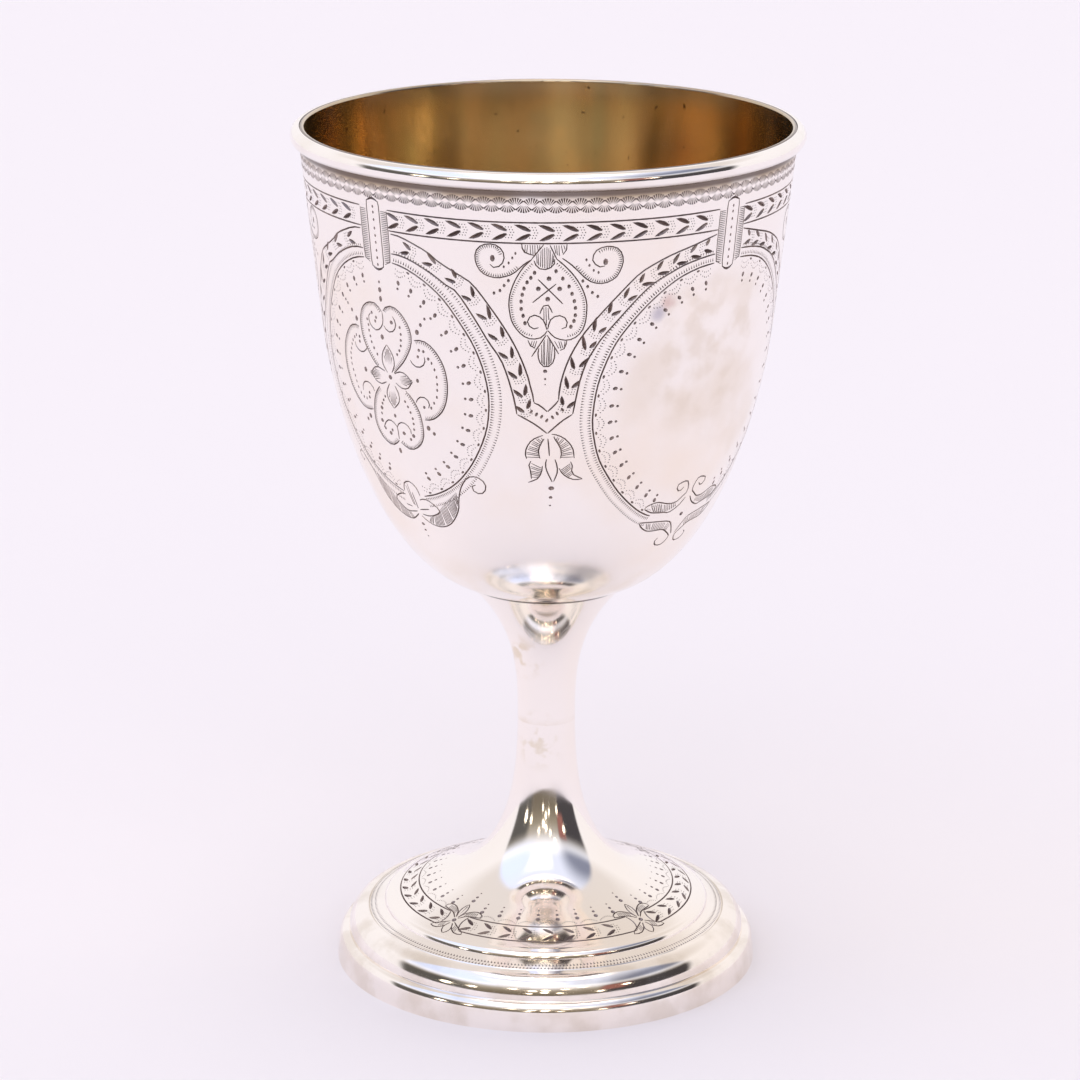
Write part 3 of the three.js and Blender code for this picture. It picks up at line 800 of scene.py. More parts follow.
# Spandrel leaf: three lobes, a heart with curls, two volutes and a husk below
spandrel += lines([
    [(-4.1, 9.1), (-4, 10), (-3.6, 10.7), (-2.1, 11.2)], [(3, 9.1), (3, 10), (2.3, 11.1)],
    [(-2.2, 12), (-1.6, 13.3), (-0.3, 13.6), (0.9, 12.9), (1.1, 11.7)],
    [(-0.6, 9.2), (-2.6, 11.9)], [(0.3, 9.3), (1.5, 12)],
    [(-2.5, 11.9), (-3.8, 13.2), (-4.8, 14.8), (-5.5, 16.3), (-6.1, 18.2), (-6.3, 20), (-6.1, 21.8),
     (-5.8, 23), (-5.1, 24.2), (-4.3, 25.1), (-3.4, 25.7), (-2.3, 25.9), (-0.9, 25.5), (0, 24.3)],
    [(1.3, 11.7), (2.6, 12.9), (4, 14.5), (5, 16), (5.8, 17.7), (6.3, 19.5), (6.35, 21), (6.2, 22.8),
     (5.8, 24.2), (5, 25.3), (4, 25.9), (3, 26.1), (1.2, 25.6), (0, 24.3)],
    [(-0.1, 24.3), (-0.5, 22.9), (-1, 22.2), (-1.7, 21.7), (-2.4, 21.7), (-3, 22.1), (-3.3, 22.8),
     (-3.1, 23.5), (-2.2, 24.1), (-1.4, 23.8)],
    [(0, 24.2), (0.2, 23.2), (0.5, 22.4), (1.1, 21.9), (1.9, 21.7), (2.7, 22), (3.1, 22.6),
     (3.2, 23.2), (3, 23.8), (2.2, 24.1)],
    [(-1.3, 21.5), (-0.8, 20.2), (-0.3, 19.8), (0.2, 20), (0.8, 21.3)],
    [(-1.6, 15.3), (2.5, 19.7)], [(1.4, 16.1), (-2.5, 19.5)],
    [(-2.4, 11.8), (-3.8, 12.8), (-5, 14), (-6, 14.7), (-8.3, 15.3), (-10.6, 14.5), (-11.6, 12.5),
     (-11.3, 10.5), (-9.8, 9.5), (-7.9, 9.7), (-6.9, 11.3), (-7.4, 13), (-8.7, 13.5), (-9.3, 12.9)],
    [(2.2, 11.6), (3.5, 12.6), (4.7, 13.8), (5.8, 15), (6.8, 15.8), (8, 16.2), (9.2, 16.2),
     (10.3, 15.8), (11.3, 14.9), (12.1, 12.5), (11.3, 10.4), (9.4, 9.8), (7.6, 10.5), (7.1, 12.2),
     (8.2, 13.3), (9.2, 13.2)],
    [(-0.2, 25.1), (-2.7, 29.1)], [(-0.1, 25.1), (1.9, 28.6)],
    [(-3.3, 26), (-2.7, 27.3), (-2, 27.6)], [(3.2, 26.1), (2.8, 27.5), (2, 27.9)],
    [(-1.4, 27.4), (-1.6, 28.6), (-1.3, 30), (-0.3, 30.9), (0.8, 30.2), (1.2, 28.8), (1.1, 27.4)],
    [(-0.7, 43.4), (-2.5, 44.2), (-3.4, 45.2), (-3.9, 46.3), (-4, 47.5), (-3.8, 48.1)],
    [(-0.5, 44), (-1, 44.8), (-1.5, 45.9), (-1.6, 46.8), (-1.3, 48)],
    [(-3, 48.4), (-3.4, 49.3), (-3.1, 50.6), (-3, 52.1)],
    [(-0.9, 49.3), (-1, 50.3), (-1.3, 51.2), (-1.9, 52), (-3.7, 52.8)],
    [(0.7, 43.2), (1.8, 43.4), (3, 44), (4, 45), (4.7, 46.2), (5, 48)],
    [(1.1, 43.7), (1.8, 44.8), (2.4, 45.9), (2.6, 47), (2.4, 48)],
    [(4.3, 48.5), (4.7, 49.4), (4.6, 50.3), (5, 51.2), (6.8, 52.1)],
    [(2.2, 49.8), (2.8, 50.8), (3.7, 51.6), (5.2, 52.2), (6.8, 52.1)],
    [(-0.1, 48), (-0.3, 49), (-0.1, 50.3), (1, 52.7)],
    [(1.4, 48), (1.8, 49.3), (1.9, 50.7), (1.2, 52.6)],
    [(0.1, 44), (0.3, 46), (0.4, 47.5)],
], 0.24, 0.9)
spandrel += hatch([(-3.9, 9.35), (-0.9, 9.35)], [(-3.8, 10.3), (-3.4, 10.8), (-2.3, 11.1), (-1, 9.9)])
spandrel += hatch([(0.6, 9.4), (2.85, 9.4)], [(0.9, 10.2), (1.6, 11.2), (2.3, 10.8), (2.85, 9.8)])
spandrel += hatch([(-2, 11.4), (-1, 10.2), (-0.2, 9.7), (0.5, 10.4), (1.1, 11.5)],
                  [(-1.9, 12.3), (-1.2, 13.1), (-0.2, 13.4), (0.6, 12.9), (1, 12)])
spandrel += fringe([(-4.3, 13.4), (-6, 14.7), (-8.3, 15.3), (-10.6, 14.5), (-11.6, 12.5), (-11.3, 10.5),
                    (-9.8, 9.5), (-7.9, 9.7), (-6.9, 11.3)], 0.2, 1)
spandrel += fringe([(4, 13.1), (5.8, 15), (6.8, 15.8), (8, 16.2), (9.2, 16.2), (10.3, 15.8),
                    (11.3, 14.9), (12.1, 12.5), (11.3, 10.4), (9.4, 9.8), (7.6, 10.5)], -0.2, -1)
spandrel += hatch([(-0.9, 20.7), (-0.3, 20.2), (0.4, 20.6)], [(-0.8, 21.8), (-0.2, 23.4), (0.4, 21.8)])
spandrel += fringe([(-2.5, 12.2), (-4.6, 15), (-6, 18.2), (-6.2, 20), (-5.7, 23), (-4.3, 24.9),
                    (-2.3, 25.7)],
                   -0.15, -0.8)
spandrel += fringe([(1.4, 12.1), (4, 14.8), (5.7, 17.8), (6.2, 20), (6.1, 22.8), (5, 25), (3, 25.8)],
                   0.15, 0.8)
spandrel += hatch([(-3.3, 26.2), (-1, 26.2)], [(-3.1, 27), (-2.5, 27.4), (-1.8, 27.3)])
spandrel += hatch([(0.8, 26.2), (3.2, 26.3)], [(1.5, 27.5), (2.4, 27.5), (3, 26.9)])
spandrel += hatch([(-1.2, 27.2), (-0.1, 25.7), (1, 27.2)], [(-1.2, 29.9), (-0.2, 30.7), (0.8, 29.9)],
                  0.34)
for x, y in ((-2.1, 14.2), (-2.7, 15.1), (-3.3, 15.9), (-3.8, 17), (-4.1, 18.1), (-4.3, 19.3),
             (-4.3, 20.6), (-4, 21.8), (-3.7, 23.1), (1.3, 13.9), (2.4, 15.2), (3.4, 16.6), (3.9, 17.9),
             (4.3, 19.2), (4.5, 20.4), (4.5, 21.7), (4.3, 22.7), (3.8, 23.7)):
    spandrel += dot(x, y, 0.65, 0.85)
spandrel += dots([(0.2, 15.2), (-1.5, 17), (1.9, 17), (0, 18.8)], 0.9)
spandrel += dots([(-8.8, 11.9), (9.2, 12.5)], 0.9, 1.3)
spandrel += dots([(-7, 13.3), (-6.2, 12.6), (-5.6, 11.7), (-5.1, 10.9), (6.1, 12), (6.6, 13),
                  (7.3, 13.9), (8.1, 14.3)],
                 0.4, 0.6)
spandrel += dots([(-6.3, 15.7), (-7, 16.6), (-7.7, 17.5), (-8.7, 18), (5.6, 15.7), (6.4, 16.7),
                  (7.2, 17.8), (8.1, 18.5)], 0.55, 0.7)
spandrel += dot(-0.4, 31.6, 0.8, 0.7) + dot(-0.4, 33, 0.5) + dot(-0.4, 34, 0.3)
spandrel += dot(0.8, 53.9, 1.1, 0.9) + dot(0.7, 55.8, 0.7, 0.6) + dot(0.6, 57.5, 0.45)
husk = [
    ([(-0.8, 43.8), (-2.4, 44.5), (-3.7, 46.5), (-3.8, 48)],
     [(-0.6, 44.2), (-1.2, 45.4), (-1.5, 46.8), (-1.2, 48)]),
    ([(-2.9, 48.6), (-3.1, 50), (-2.9, 52)], [(-1.1, 49.5), (-1.3, 51), (-1.9, 51.9)]),
    ([(0.9, 43.5), (3, 44.3), (4.4, 46.1), (4.8, 48)], [(1.2, 44), (2.2, 45.5), (2.6, 47), (2.5, 48)]),
    ([(4.2, 48.7), (4.5, 50), (5, 51.3)], [(2.5, 49.9), (3.2, 51), (4.3, 51.8)]),
]
for first, second in husk:
    spandrel += hatch(first, second, 0.32)

# Medallion rings with their tick rows, scallops and dots; half of each, from top to bottom
half_decorated = [(-27.2, 14.7), (-25, 15.1), (-23, 15.9), (-21, 17), (-19, 18.5), (-17.2, 20.3),
                  (-15, 23.4), (-12.5, 27.6), (-10.8, 32.5), (-10.2, 37.5), (-11, 43), (-13.4, 48.3),
                  (-16.5, 52.4), (-20, 55.3), (-24, 57.3), (-27.4, 58.3)]
half_blank = [(29.5, 14.9), (26, 15.3), (22, 16.7), (18, 19.5), (14.5, 23), (11.5, 27), (9.5, 31.5),
              (8.5, 35), (8, 39.5), (8.2, 43), (9.5, 48), (11.8, 52), (14.5, 55.5), (18, 58.7),
              (21, 60.7), (23.4, 61.7)]


def ring_half(points, inward):
    """Ring line, two rows of ticks outside it, and the dotted scallops inside it."""
    cuts = line(points, 0.3, 1.6)
    cuts += fringe(points, -0.4 * inward, -1.3 * inward, 0.48, 0.27)
    cuts += fringe(points, -2.3 * inward, -1.5 * inward, 0.48, 0.25)
    path = smooth(points, 0.45)
    scallop = 8
    for i in range(2, len(path) - 2):
        step = (path[i + 1] - path[i - 1]).normalized()
        right = inward * Vector((-step.y, step.x))
        share = (i % scallop) / scallop
        far = 0.45 + 1.25 * math.sin(math.pi * share)
        if i % scallop:
            cuts += tick(path[i] + right * (far + 0.1), path[i] + right * (far + 0.5), 0.24)
            if 1 < i % scallop < 7:
                cuts += tick(path[i] + right * (far - 0.8), path[i] + right * (far - 0.4), 0.2)
        else:
            cuts += dot(*(path[i] + right * 0.55), 0.45, 0.75, math.atan2(step.x, -step.y))
        if i % scallop == scallop // 2:
            cuts += dot(*(path[i] + right * 3.2), 0.7, 1.0, math.atan2(step.x, -step.y) + 1.2)
            cuts += dot(*(path[i] + right * 4.3), 0.55)
    return cuts


decorated = ring_half(half_decorated, 1)
decorated += placed(decorated, 2 * decorated_middle, -1)
blank = ring_half(half_blank, -1)
blank += placed(blank, 2 * blank_middle, -1)

# Cross of four heart lobes in the decorated medallion
lobes = [
    [(-30.4, 24), (-31.6, 22.8), (-32.8, 22.6), (-34.2, 23), (-35.4, 24), (-36.1, 25.3), (-36.4, 26.8),
     (-36.3, 28.5), (-35.9, 30), (-35.2, 31.3), (-34.3, 32.6), (-33.3, 33.7), (-32.5, 34.3)],
    [(-28.9, 34.7), (-26.9, 32.8), (-25.9, 31.6), (-25.1, 30.3), (-24.5, 29), (-24.3, 27.6),
     (-24.5, 26.2), (-25.1, 24.9), (-26, 23.7), (-27.2, 22.8), (-28.4, 22.6), (-29.5, 23),
     (-30.2, 23.8)],
    [(-33, 37.8), (-34.2, 39), (-35, 40.3), (-35.7, 42), (-36.1, 43.6), (-36.2, 45), (-35.9, 46.4),
     (-35.2, 47.6), (-34, 48.5), (-32.8, 48.8), (-31.6, 48.5), (-30.3, 47.5)],
    [(-30.1, 47.8), (-28.2, 48.8), (-26.8, 48.6), (-25.4, 47.8), (-24.4, 46.6), (-23.9, 45.3),
     (-23.8, 43.6), (-24, 41.6), (-24.6, 40), (-25.5, 38.6), (-26.7, 37.5)],
    [(-36.1, 42.7), (-37.7, 43), (-39.2, 42.8), (-40.6, 42), (-41.8, 40.6), (-42.6, 39), (-43.1, 37),
     (-43.2, 35), (-42.9, 33), (-42.2, 31.1), (-41, 29.4), (-39.6, 28.1), (-38, 27.6), (-36.9, 27.8)],
    [(-23.8, 28), (-22.8, 27.8), (-21.4, 28), (-20.2, 28.8), (-19.2, 30), (-18.4, 31.4), (-17.9, 33),
     (-17.7, 35), (-17.9, 37), (-18.4, 38.8), (-19.3, 40.4), (-20.6, 41.6), (-21.8, 42.2),
     (-23.2, 42.4)],
]
turns = (-1, -1, -1, -1, 1, 1)
for points, turn in zip(lobes, turns):
    decorated += line(points, 0.26, 1.1)
    decorated += fringe(points, 0.2 * turn, 0.95 * turn)
decorated += lines([
    [(-30.4, 23.9), (-30.3, 25.2), (-30.6, 26.3), (-31.4, 27.2), (-32.3, 27.5), (-33.1, 27.2),
     (-33.8, 26.4), (-33.9, 25.3), (-33.3, 24.6)],
    [(-30.3, 26.3), (-29.7, 27), (-28.9, 27.3), (-28, 26.9), (-27.5, 26.1), (-27.5, 25.2),
     (-28.1, 24.3)],
    [(-34, 45.8), (-33.5, 45), (-32.7, 44.2), (-31.7, 43.9), (-30.8, 44.3), (-30.2, 45), (-30.3, 47.4)],
    [(-30.2, 45), (-29.6, 44.2), (-28.6, 43.8), (-27.6, 44.1), (-26.9, 44.8), (-26.9, 45.8)],
    [(-35.1, 31), (-35.8, 31.8), (-36.8, 32.3), (-37.8, 32.2), (-38.6, 31.7), (-38.9, 30.8)],
    [(-34.8, 39.2), (-35.1, 38.4), (-35.9, 37.8), (-36.8, 37.7), (-37.7, 38), (-38.3, 38.8),
     (-38.4, 39.7)],
    [(-24.9, 31.6), (-24.2, 32.5), (-23.2, 32.7), (-22.3, 32.3), (-21.8, 31.5), (-21.9, 30.6)],
    [(-24.6, 39.4), (-23.9, 38.4), (-23, 38.1), (-22.1, 38.4), (-21.7, 39.2), (-22, 40.1)],
    [(-30, 29.7), (-31.2, 31.4), (-31.4, 33.3), (-30.4, 34.9)],
    [(-30, 29.7), (-28.8, 31.4), (-28.6, 33.2), (-29.4, 34.7)],
    [(-30.3, 36.8), (-31.3, 38.5), (-31.1, 40), (-30.1, 41.4)],
    [(-29.1, 37), (-28.4, 38.4), (-28.6, 40), (-30.1, 41.4)],
    [(-31, 34.7), (-32.8, 34.2), (-34.1, 34.7), (-34.7, 35.6)],
    [(-31, 36.6), (-32.4, 37.2), (-33.9, 36.8), (-34.7, 35.6)],
    [(-28.8, 34.8), (-27.5, 34.2), (-26.1, 34.5), (-25, 35.7)],
    [(-28.8, 36.4), (-27.3, 37.2), (-25.9, 36.9), (-25, 35.7)],
], 0.24, 0.8)
for dx, dy in ((0, -1), (0, 1), (-1, 0), (1, 0)):
    for k in (-0.9, -0.6, -0.3, 0, 0.3, 0.6, 0.9):
        near, far = 1.5 + 0.6 * abs(k), 5.2 - 1.7 * k * k
        decorated += tick((-29.95 + near * dx + 0.6 * k * dy, 35.65 + near * dy + 0.6 * k * dx),
                          (-29.95 + far * dx + k * dy, 35.65 + far * dy + k * dx), 0.2)
decorated += dot(-29.9, 35.6, 0.9)
decorated += dots([(-30.9, 28.5), (-36.5, 35.4), (-30.4, 20), (-37.5, 26.4), (-23, 26.4), (-37.7, 44.3),
                   (-22.6, 43.9)],
                  0.85, 1.05)
decorated += dots([(-30.2, 42.8), (-23.7, 35.2), (-38.7, 25.1), (-22.2, 25), (-38.8, 45.1),
                   (-21.5, 44.8)], 0.65, 0.8)
decorated += dots([(-30.4, 18.6), (-39.8, 24.1), (-21.3, 23.8)], 0.5, 0.6)
decorated += dots([(-30.4, 21.6), (-30.7, 49.6)], 0.75, 1.2)
decorated += dots([
    (-34.4, 25.9), (-34.2, 26.9), (-34.2, 27.9), (-34, 28.9), (-33.8, 29.9), (-33.3, 30.9),
    (-32.6, 31.9), (-26.6, 26.1), (-26.5, 27.3), (-26.6, 28.4), (-26.7, 29.4), (-27.1, 30.3),
    (-27.7, 31.1), (-32, 39.5), (-32.6, 40.3), (-33.1, 41), (-33.8, 43), (-27.1, 39.6), (-26.6, 40.5),
    (-26.2, 41.5), (-25.9, 42.6), (-25.9, 43.6), (-26, 44.7),
], 0.5, 0.6)
decorated += dots([
    (-38.2, 29.5), (-38.8, 30), (-39.5, 30.7), (-40, 31.5), (-40.4, 32.4), (-40.8, 33.3), (-41, 34.3),
    (-41, 35.3), (-40.8, 36.4), (-40.5, 37.4), (-40.3, 38.4), (-40, 39.4), (-39.4, 40.3), (-38.6, 40.9),
    (-37.7, 41), (-20.5, 31.6), (-20, 32.7), (-19.7, 34), (-19.7, 35.3), (-19.8, 36.4), (-20, 37.7),
    (-20.7, 38.9), (-21.4, 39.9),
], 0.4, 0.65)
decorated += dots([(-33, 24.5), (-32, 25.2), (-32.3, 25.9), (-37.2, 29.6), (-37.3, 30.5), (-22.9, 29.6),
                   (-22, 29.7), (-23.2, 30.8), (-21.1, 30.9), (-36.5, 39.7), (-36.7, 40.6), (-22.9, 40),
                   (-33.6, 45.8), (-31.7, 45.8), (-27.2, 46.8)], 0.55, 0.65)
decorated += dots([(-28.4, 25.5), (-33.5, 41.9), (-34.1, 44.4), (-32.3, 46.5), (-28.7, 45.9),
                   (-26.4, 46)], 0.8)

# Leaves and wings at the foot of the decorated medallion
decorated += lines([
    [(-33, 58.2), (-32.4, 56.5), (-30.6, 55.8), (-29, 56.8), (-28.6, 58.6)],
    [(-33, 58.9), (-34.5, 59), (-36.9, 60.1), (-37, 60.9), (-35.2, 62.3), (-33.7, 62.6), (-30.9, 62.1)],
    [(-29.1, 59.4), (-28, 59), (-26.8, 59), (-25.5, 59.6), (-24.1, 61), (-26.2, 62.2), (-28, 62.6),
     (-29.7, 62.5)],
    [(-30.7, 58), (-30.5, 60), (-30.4, 61.5)], [(-34, 61.1), (-32, 61.3)], [(-30, 61.6), (-27, 61)],
    [(-30.2, 62.9), (-29, 63.8), (-27.5, 64.4), (-25.8, 64.6), (-24, 64.3), (-22.3, 63.5), (-21, 62.4),
     (-19.8, 60.9), (-19, 59.4), (-18.6, 57.7), (-18, 56), (-17.4, 54.7), (-16, 52.9), (-14.9, 52.4),
     (-13.8, 52.4), (-12.8, 52.9), (-12.2, 53.7), (-12.2, 54.6), (-12.7, 55.4), (-13.5, 55.8),
     (-14.4, 55.6), (-15.1, 55), (-15, 54.3), (-14.2, 54)],
    [(-30.8, 62.6), (-33.2, 64.1), (-35, 64.3), (-37, 63.9), (-39, 63), (-40.6, 61.6), (-41.8, 60),
     (-42.5, 58.2), (-43.3, 56.3), (-44.5, 54.8), (-46, 53.4), (-47.6, 53.2), (-48.2, 54.3),
     (-47.4, 55.2), (-46.5, 54.6)],
], 0.26, 1.0)
wing_low = [(-28.5, 63.8), (-25.8, 64.4), (-22.3, 63.2), (-19.9, 60.6), (-18.8, 57.8)]
wing_high = [(-27.6, 62.9), (-25.2, 61.6), (-22.3, 58.9), (-20.3, 57.2), (-18.6, 55.9)]
decorated += hatch(wing_high, wing_low, 0.42, 0.18)
decorated += placed(hatch(wing_high, wing_low, 0.42, 0.18), -61, -1)
decorated += hatch([(-32.4, 57.5), (-31.8, 56.5), (-30.8, 56.1)],
                   [(-31.6, 60.5), (-31.2, 60.8), (-30.7, 61)], 0.4)
decorated += dot(-30.8, 64.9, 0.8, 0.7) + dot(-30.9, 66.3, 0.6, 0.5) + dot(-30.9, 67.7, 0.4)

# Scrolls at the foot of the blank medallion
scroll = lines([
    [(21.3, 59.8), (22, 59.3), (24.3, 58.9), (27, 59.6), (28.5, 59.8), (30, 59.6), (31, 58.8),
     (31.9, 58.3), (32.2, 57.5), (31.6, 55.9), (30.7, 55.5), (28.9, 55.9), (28.6, 56.5), (29.6, 57.5),
     (30.7, 56.7)],
    [(21.3, 59.9), (23.5, 61), (27.2, 61.5), (28.5, 61.7), (30.8, 60.7), (32.3, 59.1)],
    [(21, 63), (21.8, 64), (23, 64.8), (24.5, 65.3), (28, 65.5), (29.3, 65.9), (31.5, 67.3), (31.9, 68),
     (30.8, 69.4), (28.6, 69.3), (27.6, 68.3), (28.4, 67.5)],
    [(21, 62.9), (26, 63.4), (29.5, 63.9), (30.8, 64.8), (32.4, 67.3)],
], 0.28, 0.9)
scroll += hatch([(22.5, 59.6), (24.5, 59.3), (27, 59.9), (30, 59.9)],
                [(23.5, 60.8), (25, 61.1), (27.5, 61.3), (30.4, 60.6)], 0.5, 0.2)
scroll += hatch([(22.5, 63.3), (26, 63.7), (29.3, 64.2), (30.7, 65.2)],
                [(23, 64.6), (26, 65.2), (28.6, 65.4), (30.2, 66.3)], 0.5, 0.2)
blank += scroll + placed(scroll, 65.9, -1) + dot(33, 62.9, 0.9)

strokes = placed(border)
for centre in (0, half_round):
    strokes += placed(spandrel, centre) + placed(spandrel, centre + 2 * blank_middle, -1)
    strokes += placed(decorated, centre) + placed(blank, centre)
    for shift in (0, half_round / 2):
        strokes += placed(band, centre + shift)
    strokes += placed(strap, centre + decorated_middle) + placed(strap, centre + blank_middle)
drawing_gap = 0.2  # from the drawing's upper edge to the wall's
wall_rows = [(0, lip_radius, wire_foot)]
for radius, height in reversed(outside[len(underside):-1]):
    y, r, z = wall_rows[-1]
    wall_rows.append((y + math.hypot(radius - r, height - z), radius, height))
wall_rows = [(y + drawing_gap, r, z) for y, r, z in wall_rows]
engrave(bowl, wall_map(wall_rows, bowl_unroll), strokes, round_trip=math.tau * bowl_unroll, drop=90)
turned_normals(bowl, bowl_outline)
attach(bowl, "root")
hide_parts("bowl")

# ---------------------------------------------------------------- rim wire
# Half-round silver wire, soldered round the outside of the lip to stiffen it. It is brighter than the
# bowl, and brown tarnish sits in the corner under it. The darker lower part of the wire and the dark
# line on the wall just below it are painted shade.
wire_radius, wire_middle, wire_steps = 1.6, 153.4, 16
wire_outline = [(lip_radius, wire_foot)]
for i in range(1, wire_steps):
    turn = -math.pi / 2 + math.pi * i / wire_steps
    wire_outline.append((lip_radius + wire_radius * math.cos(turn),
                         wire_middle + wire_radius * math.sin(turn)))
wire_outline.append((lip_radius, 154.95))
rim_wire = turned("rim_wire", wire_outline, steps=160)
wire = Metal("wire_silver", (0.985, 0.94, 0.90), 0.08)
wire.layer(wire.noise(45, 0.5, 0.72, last=0.5), (0.84, 0.76, 0.66))
# Painted shade: the lower part of the wire is darkened, as if shaded from above.
wire.layer(wire.height(0.1528, 0.1519, last=0.9), (0.30, 0.25, 0.22))
wire.roughness(wire.noise(160, 0.3, 0.7, first=0.05, last=0.12))
rim_wire.data.materials.append(wire.material)
turned_normals(rim_wire, wire_outline, corner=40)
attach(rim_wire, "root")
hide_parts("rim_wire")

# ---------------------------------------------------------------- stem
# The upper trumpet, raised from a silver tube and open through its middle. It spreads to the joint
# under the bowl, where a dark line is painted: the solder line, and painted shade in the crease under
# the bowl.
seam = (5.25, 45.5)
flare_from, flare_height, flare_width, flare_power = 46.5, 25.3, 9.15, 2.85
stem_rows = [seam[1], 47, 49, 51, 53, 55, 57, 58.5, 60, 61.5, 63, 64.5, 65.8, 67, 68, 69, 70, 70.8,
             71.5, 71.8]
stem_outside = []
for z in stem_rows:
    share = (max(z - flare_from, 0) / flare_height) ** flare_power
    stem_outside.append((seam[0] + flare_width * share, z))
stem_inside = [(r - sheet, z) for r, z in stem_outside if z < 70]
stem_outline = stem_outside + [seat] + stem_inside[::-1]
stem = turned("stem", stem_outline, steps=128)
tube = Metal("stem_silver", SILVER, 0.08)
tube.layer(tube.noise(28, 0.40, 0.80, (1, 1, 0.6), detail=1, last=0.5), (0.95, 0.84, 0.71))
tube.layer(tube.both(tube.near((-4.6, -3.6, 59), 2, 6), tube.noise(330, 0.46, 0.62, last=0.6)),
           (0.72, 0.60, 0.42))
tube.layer(tube.both(tube.near((-1.6, -5, 45.5), 0.8, 3.5), tube.noise(420, 0.46, 0.62, last=0.6)),
           (0.72, 0.62, 0.46))
# Painted shade with the solder line: a dark band at the stem's top edge, in the crease under the bowl.
tube.layer(tube.height(0.07135, 0.07160, last=0.9), (0.13, 0.10, 0.085))
tube.layer(tube.both(tube.height(0.0470, 0.0455), tube.noise(90, 0.35, 0.6, last=0.35)),
           (0.70, 0.58, 0.42))
tube.roughness(tube.noise(140, 0.3, 0.7, first=0.06, last=0.13))
stem.data.materials.append(tube.material)
turned_normals(stem, stem_outline)
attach(stem, "root")
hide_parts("stem")

# ---------------------------------------------------------------- foot
# The lower trumpet and the stepped dome, shaped from one sheet of silver and soldered to the
# stem. It is hollow from beneath, with engraving on the dome and two milled rows on the shelf.
dome_start, dome_end = (19, 15.5), (28.4, 11.5)
flare = [seam] + bezier([seam, (seam[0], 25.5), (10.5, 18.6), dome_start], 28)
dome = bezier([dome_start, (25.5, 13.05), dome_end], 12)
edge = bezier([dome_end, (29.7, 11.4), (29.8, 10.3)], 6)
shelf = [(30, 10.2), (32.45, 9.4), (32.58, 9.22)]
roll_start, lip_start = (32.75, 9.35), (36.6, 5.05)
roll = [roll_start] + bezier([roll_start, (36.1, 8.9), (36.4, 5.06)], 14)
lip = [lip_start] + bezier([lip_start, (38.0, 4.9), (38.15, 3.1)], 8) + [(38.2, 2.6), (38.5, 0)]
foot_outside = flare + dome + edge + shelf + roll + lip
foot_inside = [(37.4, 0), (37.1, 2.5), (35.3, 4.5), (34.2, 7.0), (32.3, 8.2), (28.9, 9.1), (26, 11.2),
               (19, 14.4)]
foot_inside += inset(flare, -sheet)[::-1][1:]
foot_inside[-1] = (4.35, seam[1])
foot_outline = (foot_outside + foot_inside)[::-1]
foot = turned("foot", foot_outline, steps=160)
base = Metal("foot_silver", SILVER, 0.08)
base.layer(base.noise(26, 0.40, 0.78, detail=1, last=0.6), (0.95, 0.84, 0.71))
base.layer(base.both(base.near((-1.6, -5, 42), 1, 6), base.noise(420, 0.50, 0.64, last=0.5)),
           (0.74, 0.64, 0.46))
base.layer(base.both(base.height(0.0106, 0.0088), base.noise(120, 0.4, 0.62, last=0.35)),
           (0.62, 0.52, 0.40))
base.roughness(base.noise(150, 0.3, 0.7, first=0.05, last=0.13))
hollow = Metal("hollow_silver", (0.84, 0.79, 0.72), 0.34)
hollow.layer(hollow.noise(60, 0.40, 0.66, last=0.7), (0.62, 0.54, 0.44))
hollow.roughness(hollow.noise(90, 0.3, 0.7, first=0.26, last=0.42))
for metal in (base, dark_cut, hollow):
    foot.data.materials.append(metal.material)
for face in foot.data.polygons:
    outward = face.normal.x * face.center.x + face.normal.y * face.center.y
    if face.center.z > 0.0001 and (outward < 0 or face.normal.z < -0.3):
        face.material_index = INSIDE

# ---- engraving of the foot: the same kind of drawing, with x in mm round a 25 mm cylinder and
# y the radius in mm.
foot_unroll = 25


def polar(points, angle=0.0, side=1):
    """Points given as degrees round the foot and a radius."""
    return [(math.radians(angle + side * a) * foot_unroll, r) for a, r in points]


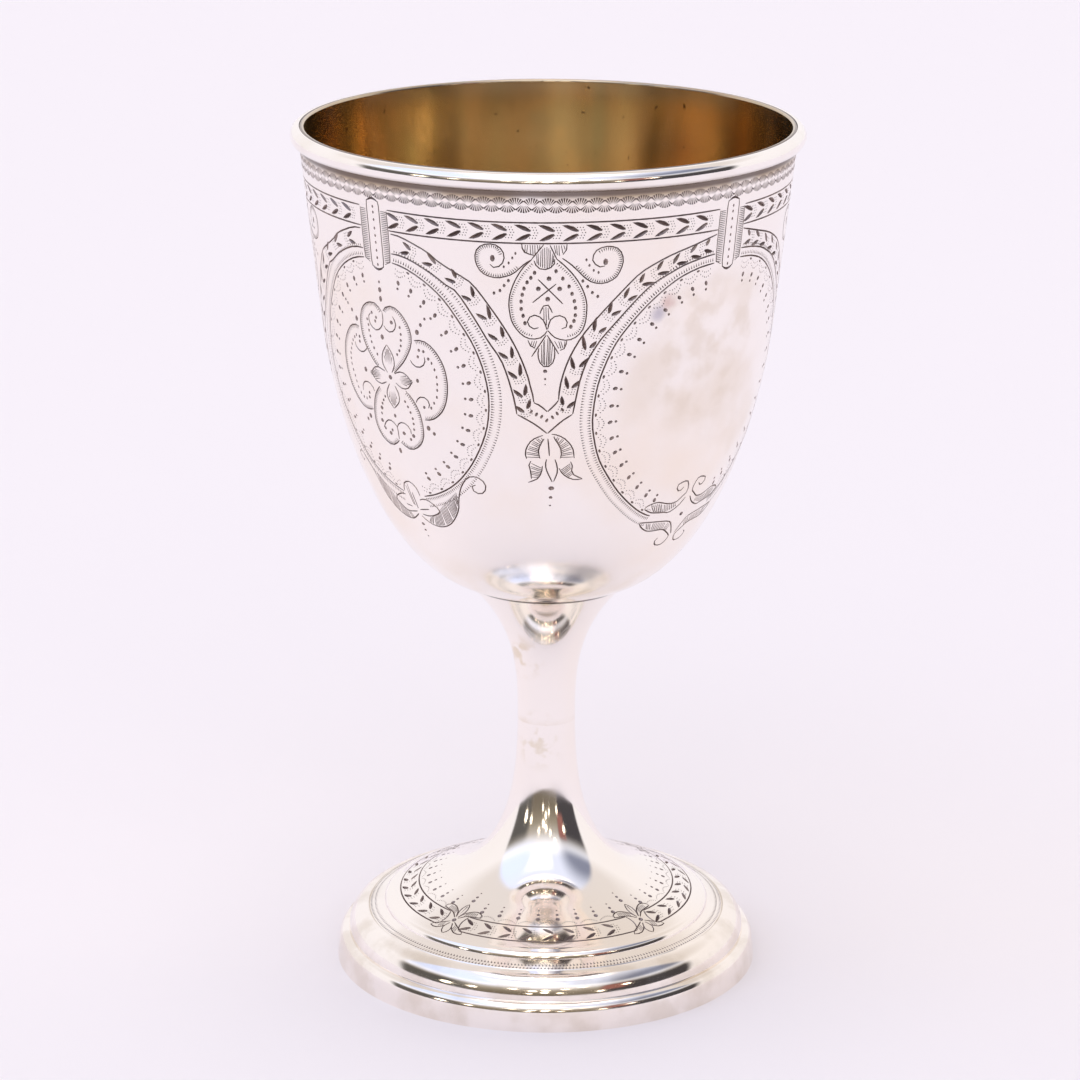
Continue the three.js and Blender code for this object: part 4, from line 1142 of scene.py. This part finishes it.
# Flower clips, with a band, chevrons and rays of dots between each two
flowers = (-41.5, 43.5, 133.5, 223.5, 318.5)
foot_strokes = []
for angle, following in zip(flowers, flowers[1:]):
    for side in (-1, 1):
        foot_strokes += lines([
            polar([(0.8, 24.4), (4, 23.4), (8.5, 23.1), (11.3, 22.9), (9.8, 22.1), (6.5, 21.9),
                   (2.4, 22.8), (0.5, 24.2)],
                  angle, side),
            polar([(1, 25.3), (4.5, 26.2), (8.2, 27.2), (5, 27.5), (2, 26.7), (0.9, 25.7)], angle,
                  side),
            polar([(0, 20.7), (1.4, 21.6), (1.6, 22.8), (0.4, 24.1)], angle, side),
            polar([(0, 28.1), (1.8, 27.3), (1.6, 26.4), (0.5, 25.6)], angle, side),
        ], 0.24, 0.8)
        foot_strokes += hatch(polar([(2, 23.9), (5, 23.3), (9, 23)], angle, side),
                              polar([(2.4, 23), (5, 22.3), (9, 22.2)], angle, side), 0.4)
        foot_strokes += hatch(polar([(2, 25.7), (5, 26.5)], angle, side),
                              polar([(2, 26.6), (5, 27.3)], angle, side), 0.4)
    foot_strokes += dot(*polar([(0, 24.9)], angle)[0], 0.95)
    foot_strokes += tick(*polar([(0, 24), (0, 21.3)], angle), 0.2)
    first, last = angle + 5.5, following - 5.5
    steps = 14
    for radius in (23.4, 26.8):
        ring = [(first + (last - first) * i / steps, radius) for i in range(steps + 1)]
        foot_strokes += line(polar(ring), 0.28, 1.6)
    foot_strokes += line(polar([(5.6, 26.8), (4.6, 26), (4.2, 25.1), (4.6, 24.2), (5.6, 23.4)], angle),
                         0.26, 0.7)
    foot_strokes += line(polar([(-5.6, 26.8), (-4.6, 26), (-4.2, 25.1), (-4.6, 24.2), (-5.6, 23.4)],
                               following), 0.26, 0.7)
    count = round((following - angle - 13) / 8.6)
    for i in range(count):
        tip = angle + 9.4 + 8.7 * i
        foot_strokes += leaf(*polar([(tip - 4, 23.9), (tip + 0.6, 25)]), 0.72, -0.1)
        foot_strokes += leaf(*polar([(tip - 4.2, 26.4), (tip + 0.4, 25.4)]), 0.72, 0.1)
        foot_strokes += stipple(polar([(tip, 25.2)])[0], (1, 0), 2.0, 1.35, 1.1)
    rays = round((following - angle) / 9.2)
    for i in range(rays + 1):
        ray = angle + (following - angle) * i / rays
        low = 21.6 if 0 < i < rays else 19.7
        if i < rays:
            for k, size in enumerate((0.85, 0.6, 0.4)):
                foot_strokes += dot(*polar([(ray, low - 1.05 * k)])[0], size)
            for k in range(1, 10):
                at = ray + 0.92 * k
                if min(at - angle, following - at) > 10:
                    radius = 22.9 - 0.8 * math.sin(math.pi * k / 10)
                    foot_strokes += tick(*polar([(at, radius - 0.15), (at, radius + 0.25)]), 0.2)

# Two milled rows on the shelf
milled = 320
for radius, shift in ((31.0, 0.12), (31.75, -0.12)):
    for i in range(milled):
        at = math.tau * foot_unroll * i / milled
        foot_strokes += tick((at, radius), (at + shift, radius + 0.6), 0.36)
dome_rows = [(r, r, z) for r, z in foot_outside if 14 < r < 32.5]
engrave(foot, wall_map(dome_rows, foot_unroll), foot_strokes, round_trip=math.tau * foot_unroll,
        drop=34)
turned_normals(foot, foot_outline, corner=28)
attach(foot, "root")
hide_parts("foot")

# ---------------------------------------------------------------- finish
# The box round the goblet's built pieces, without the floor.
low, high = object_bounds()
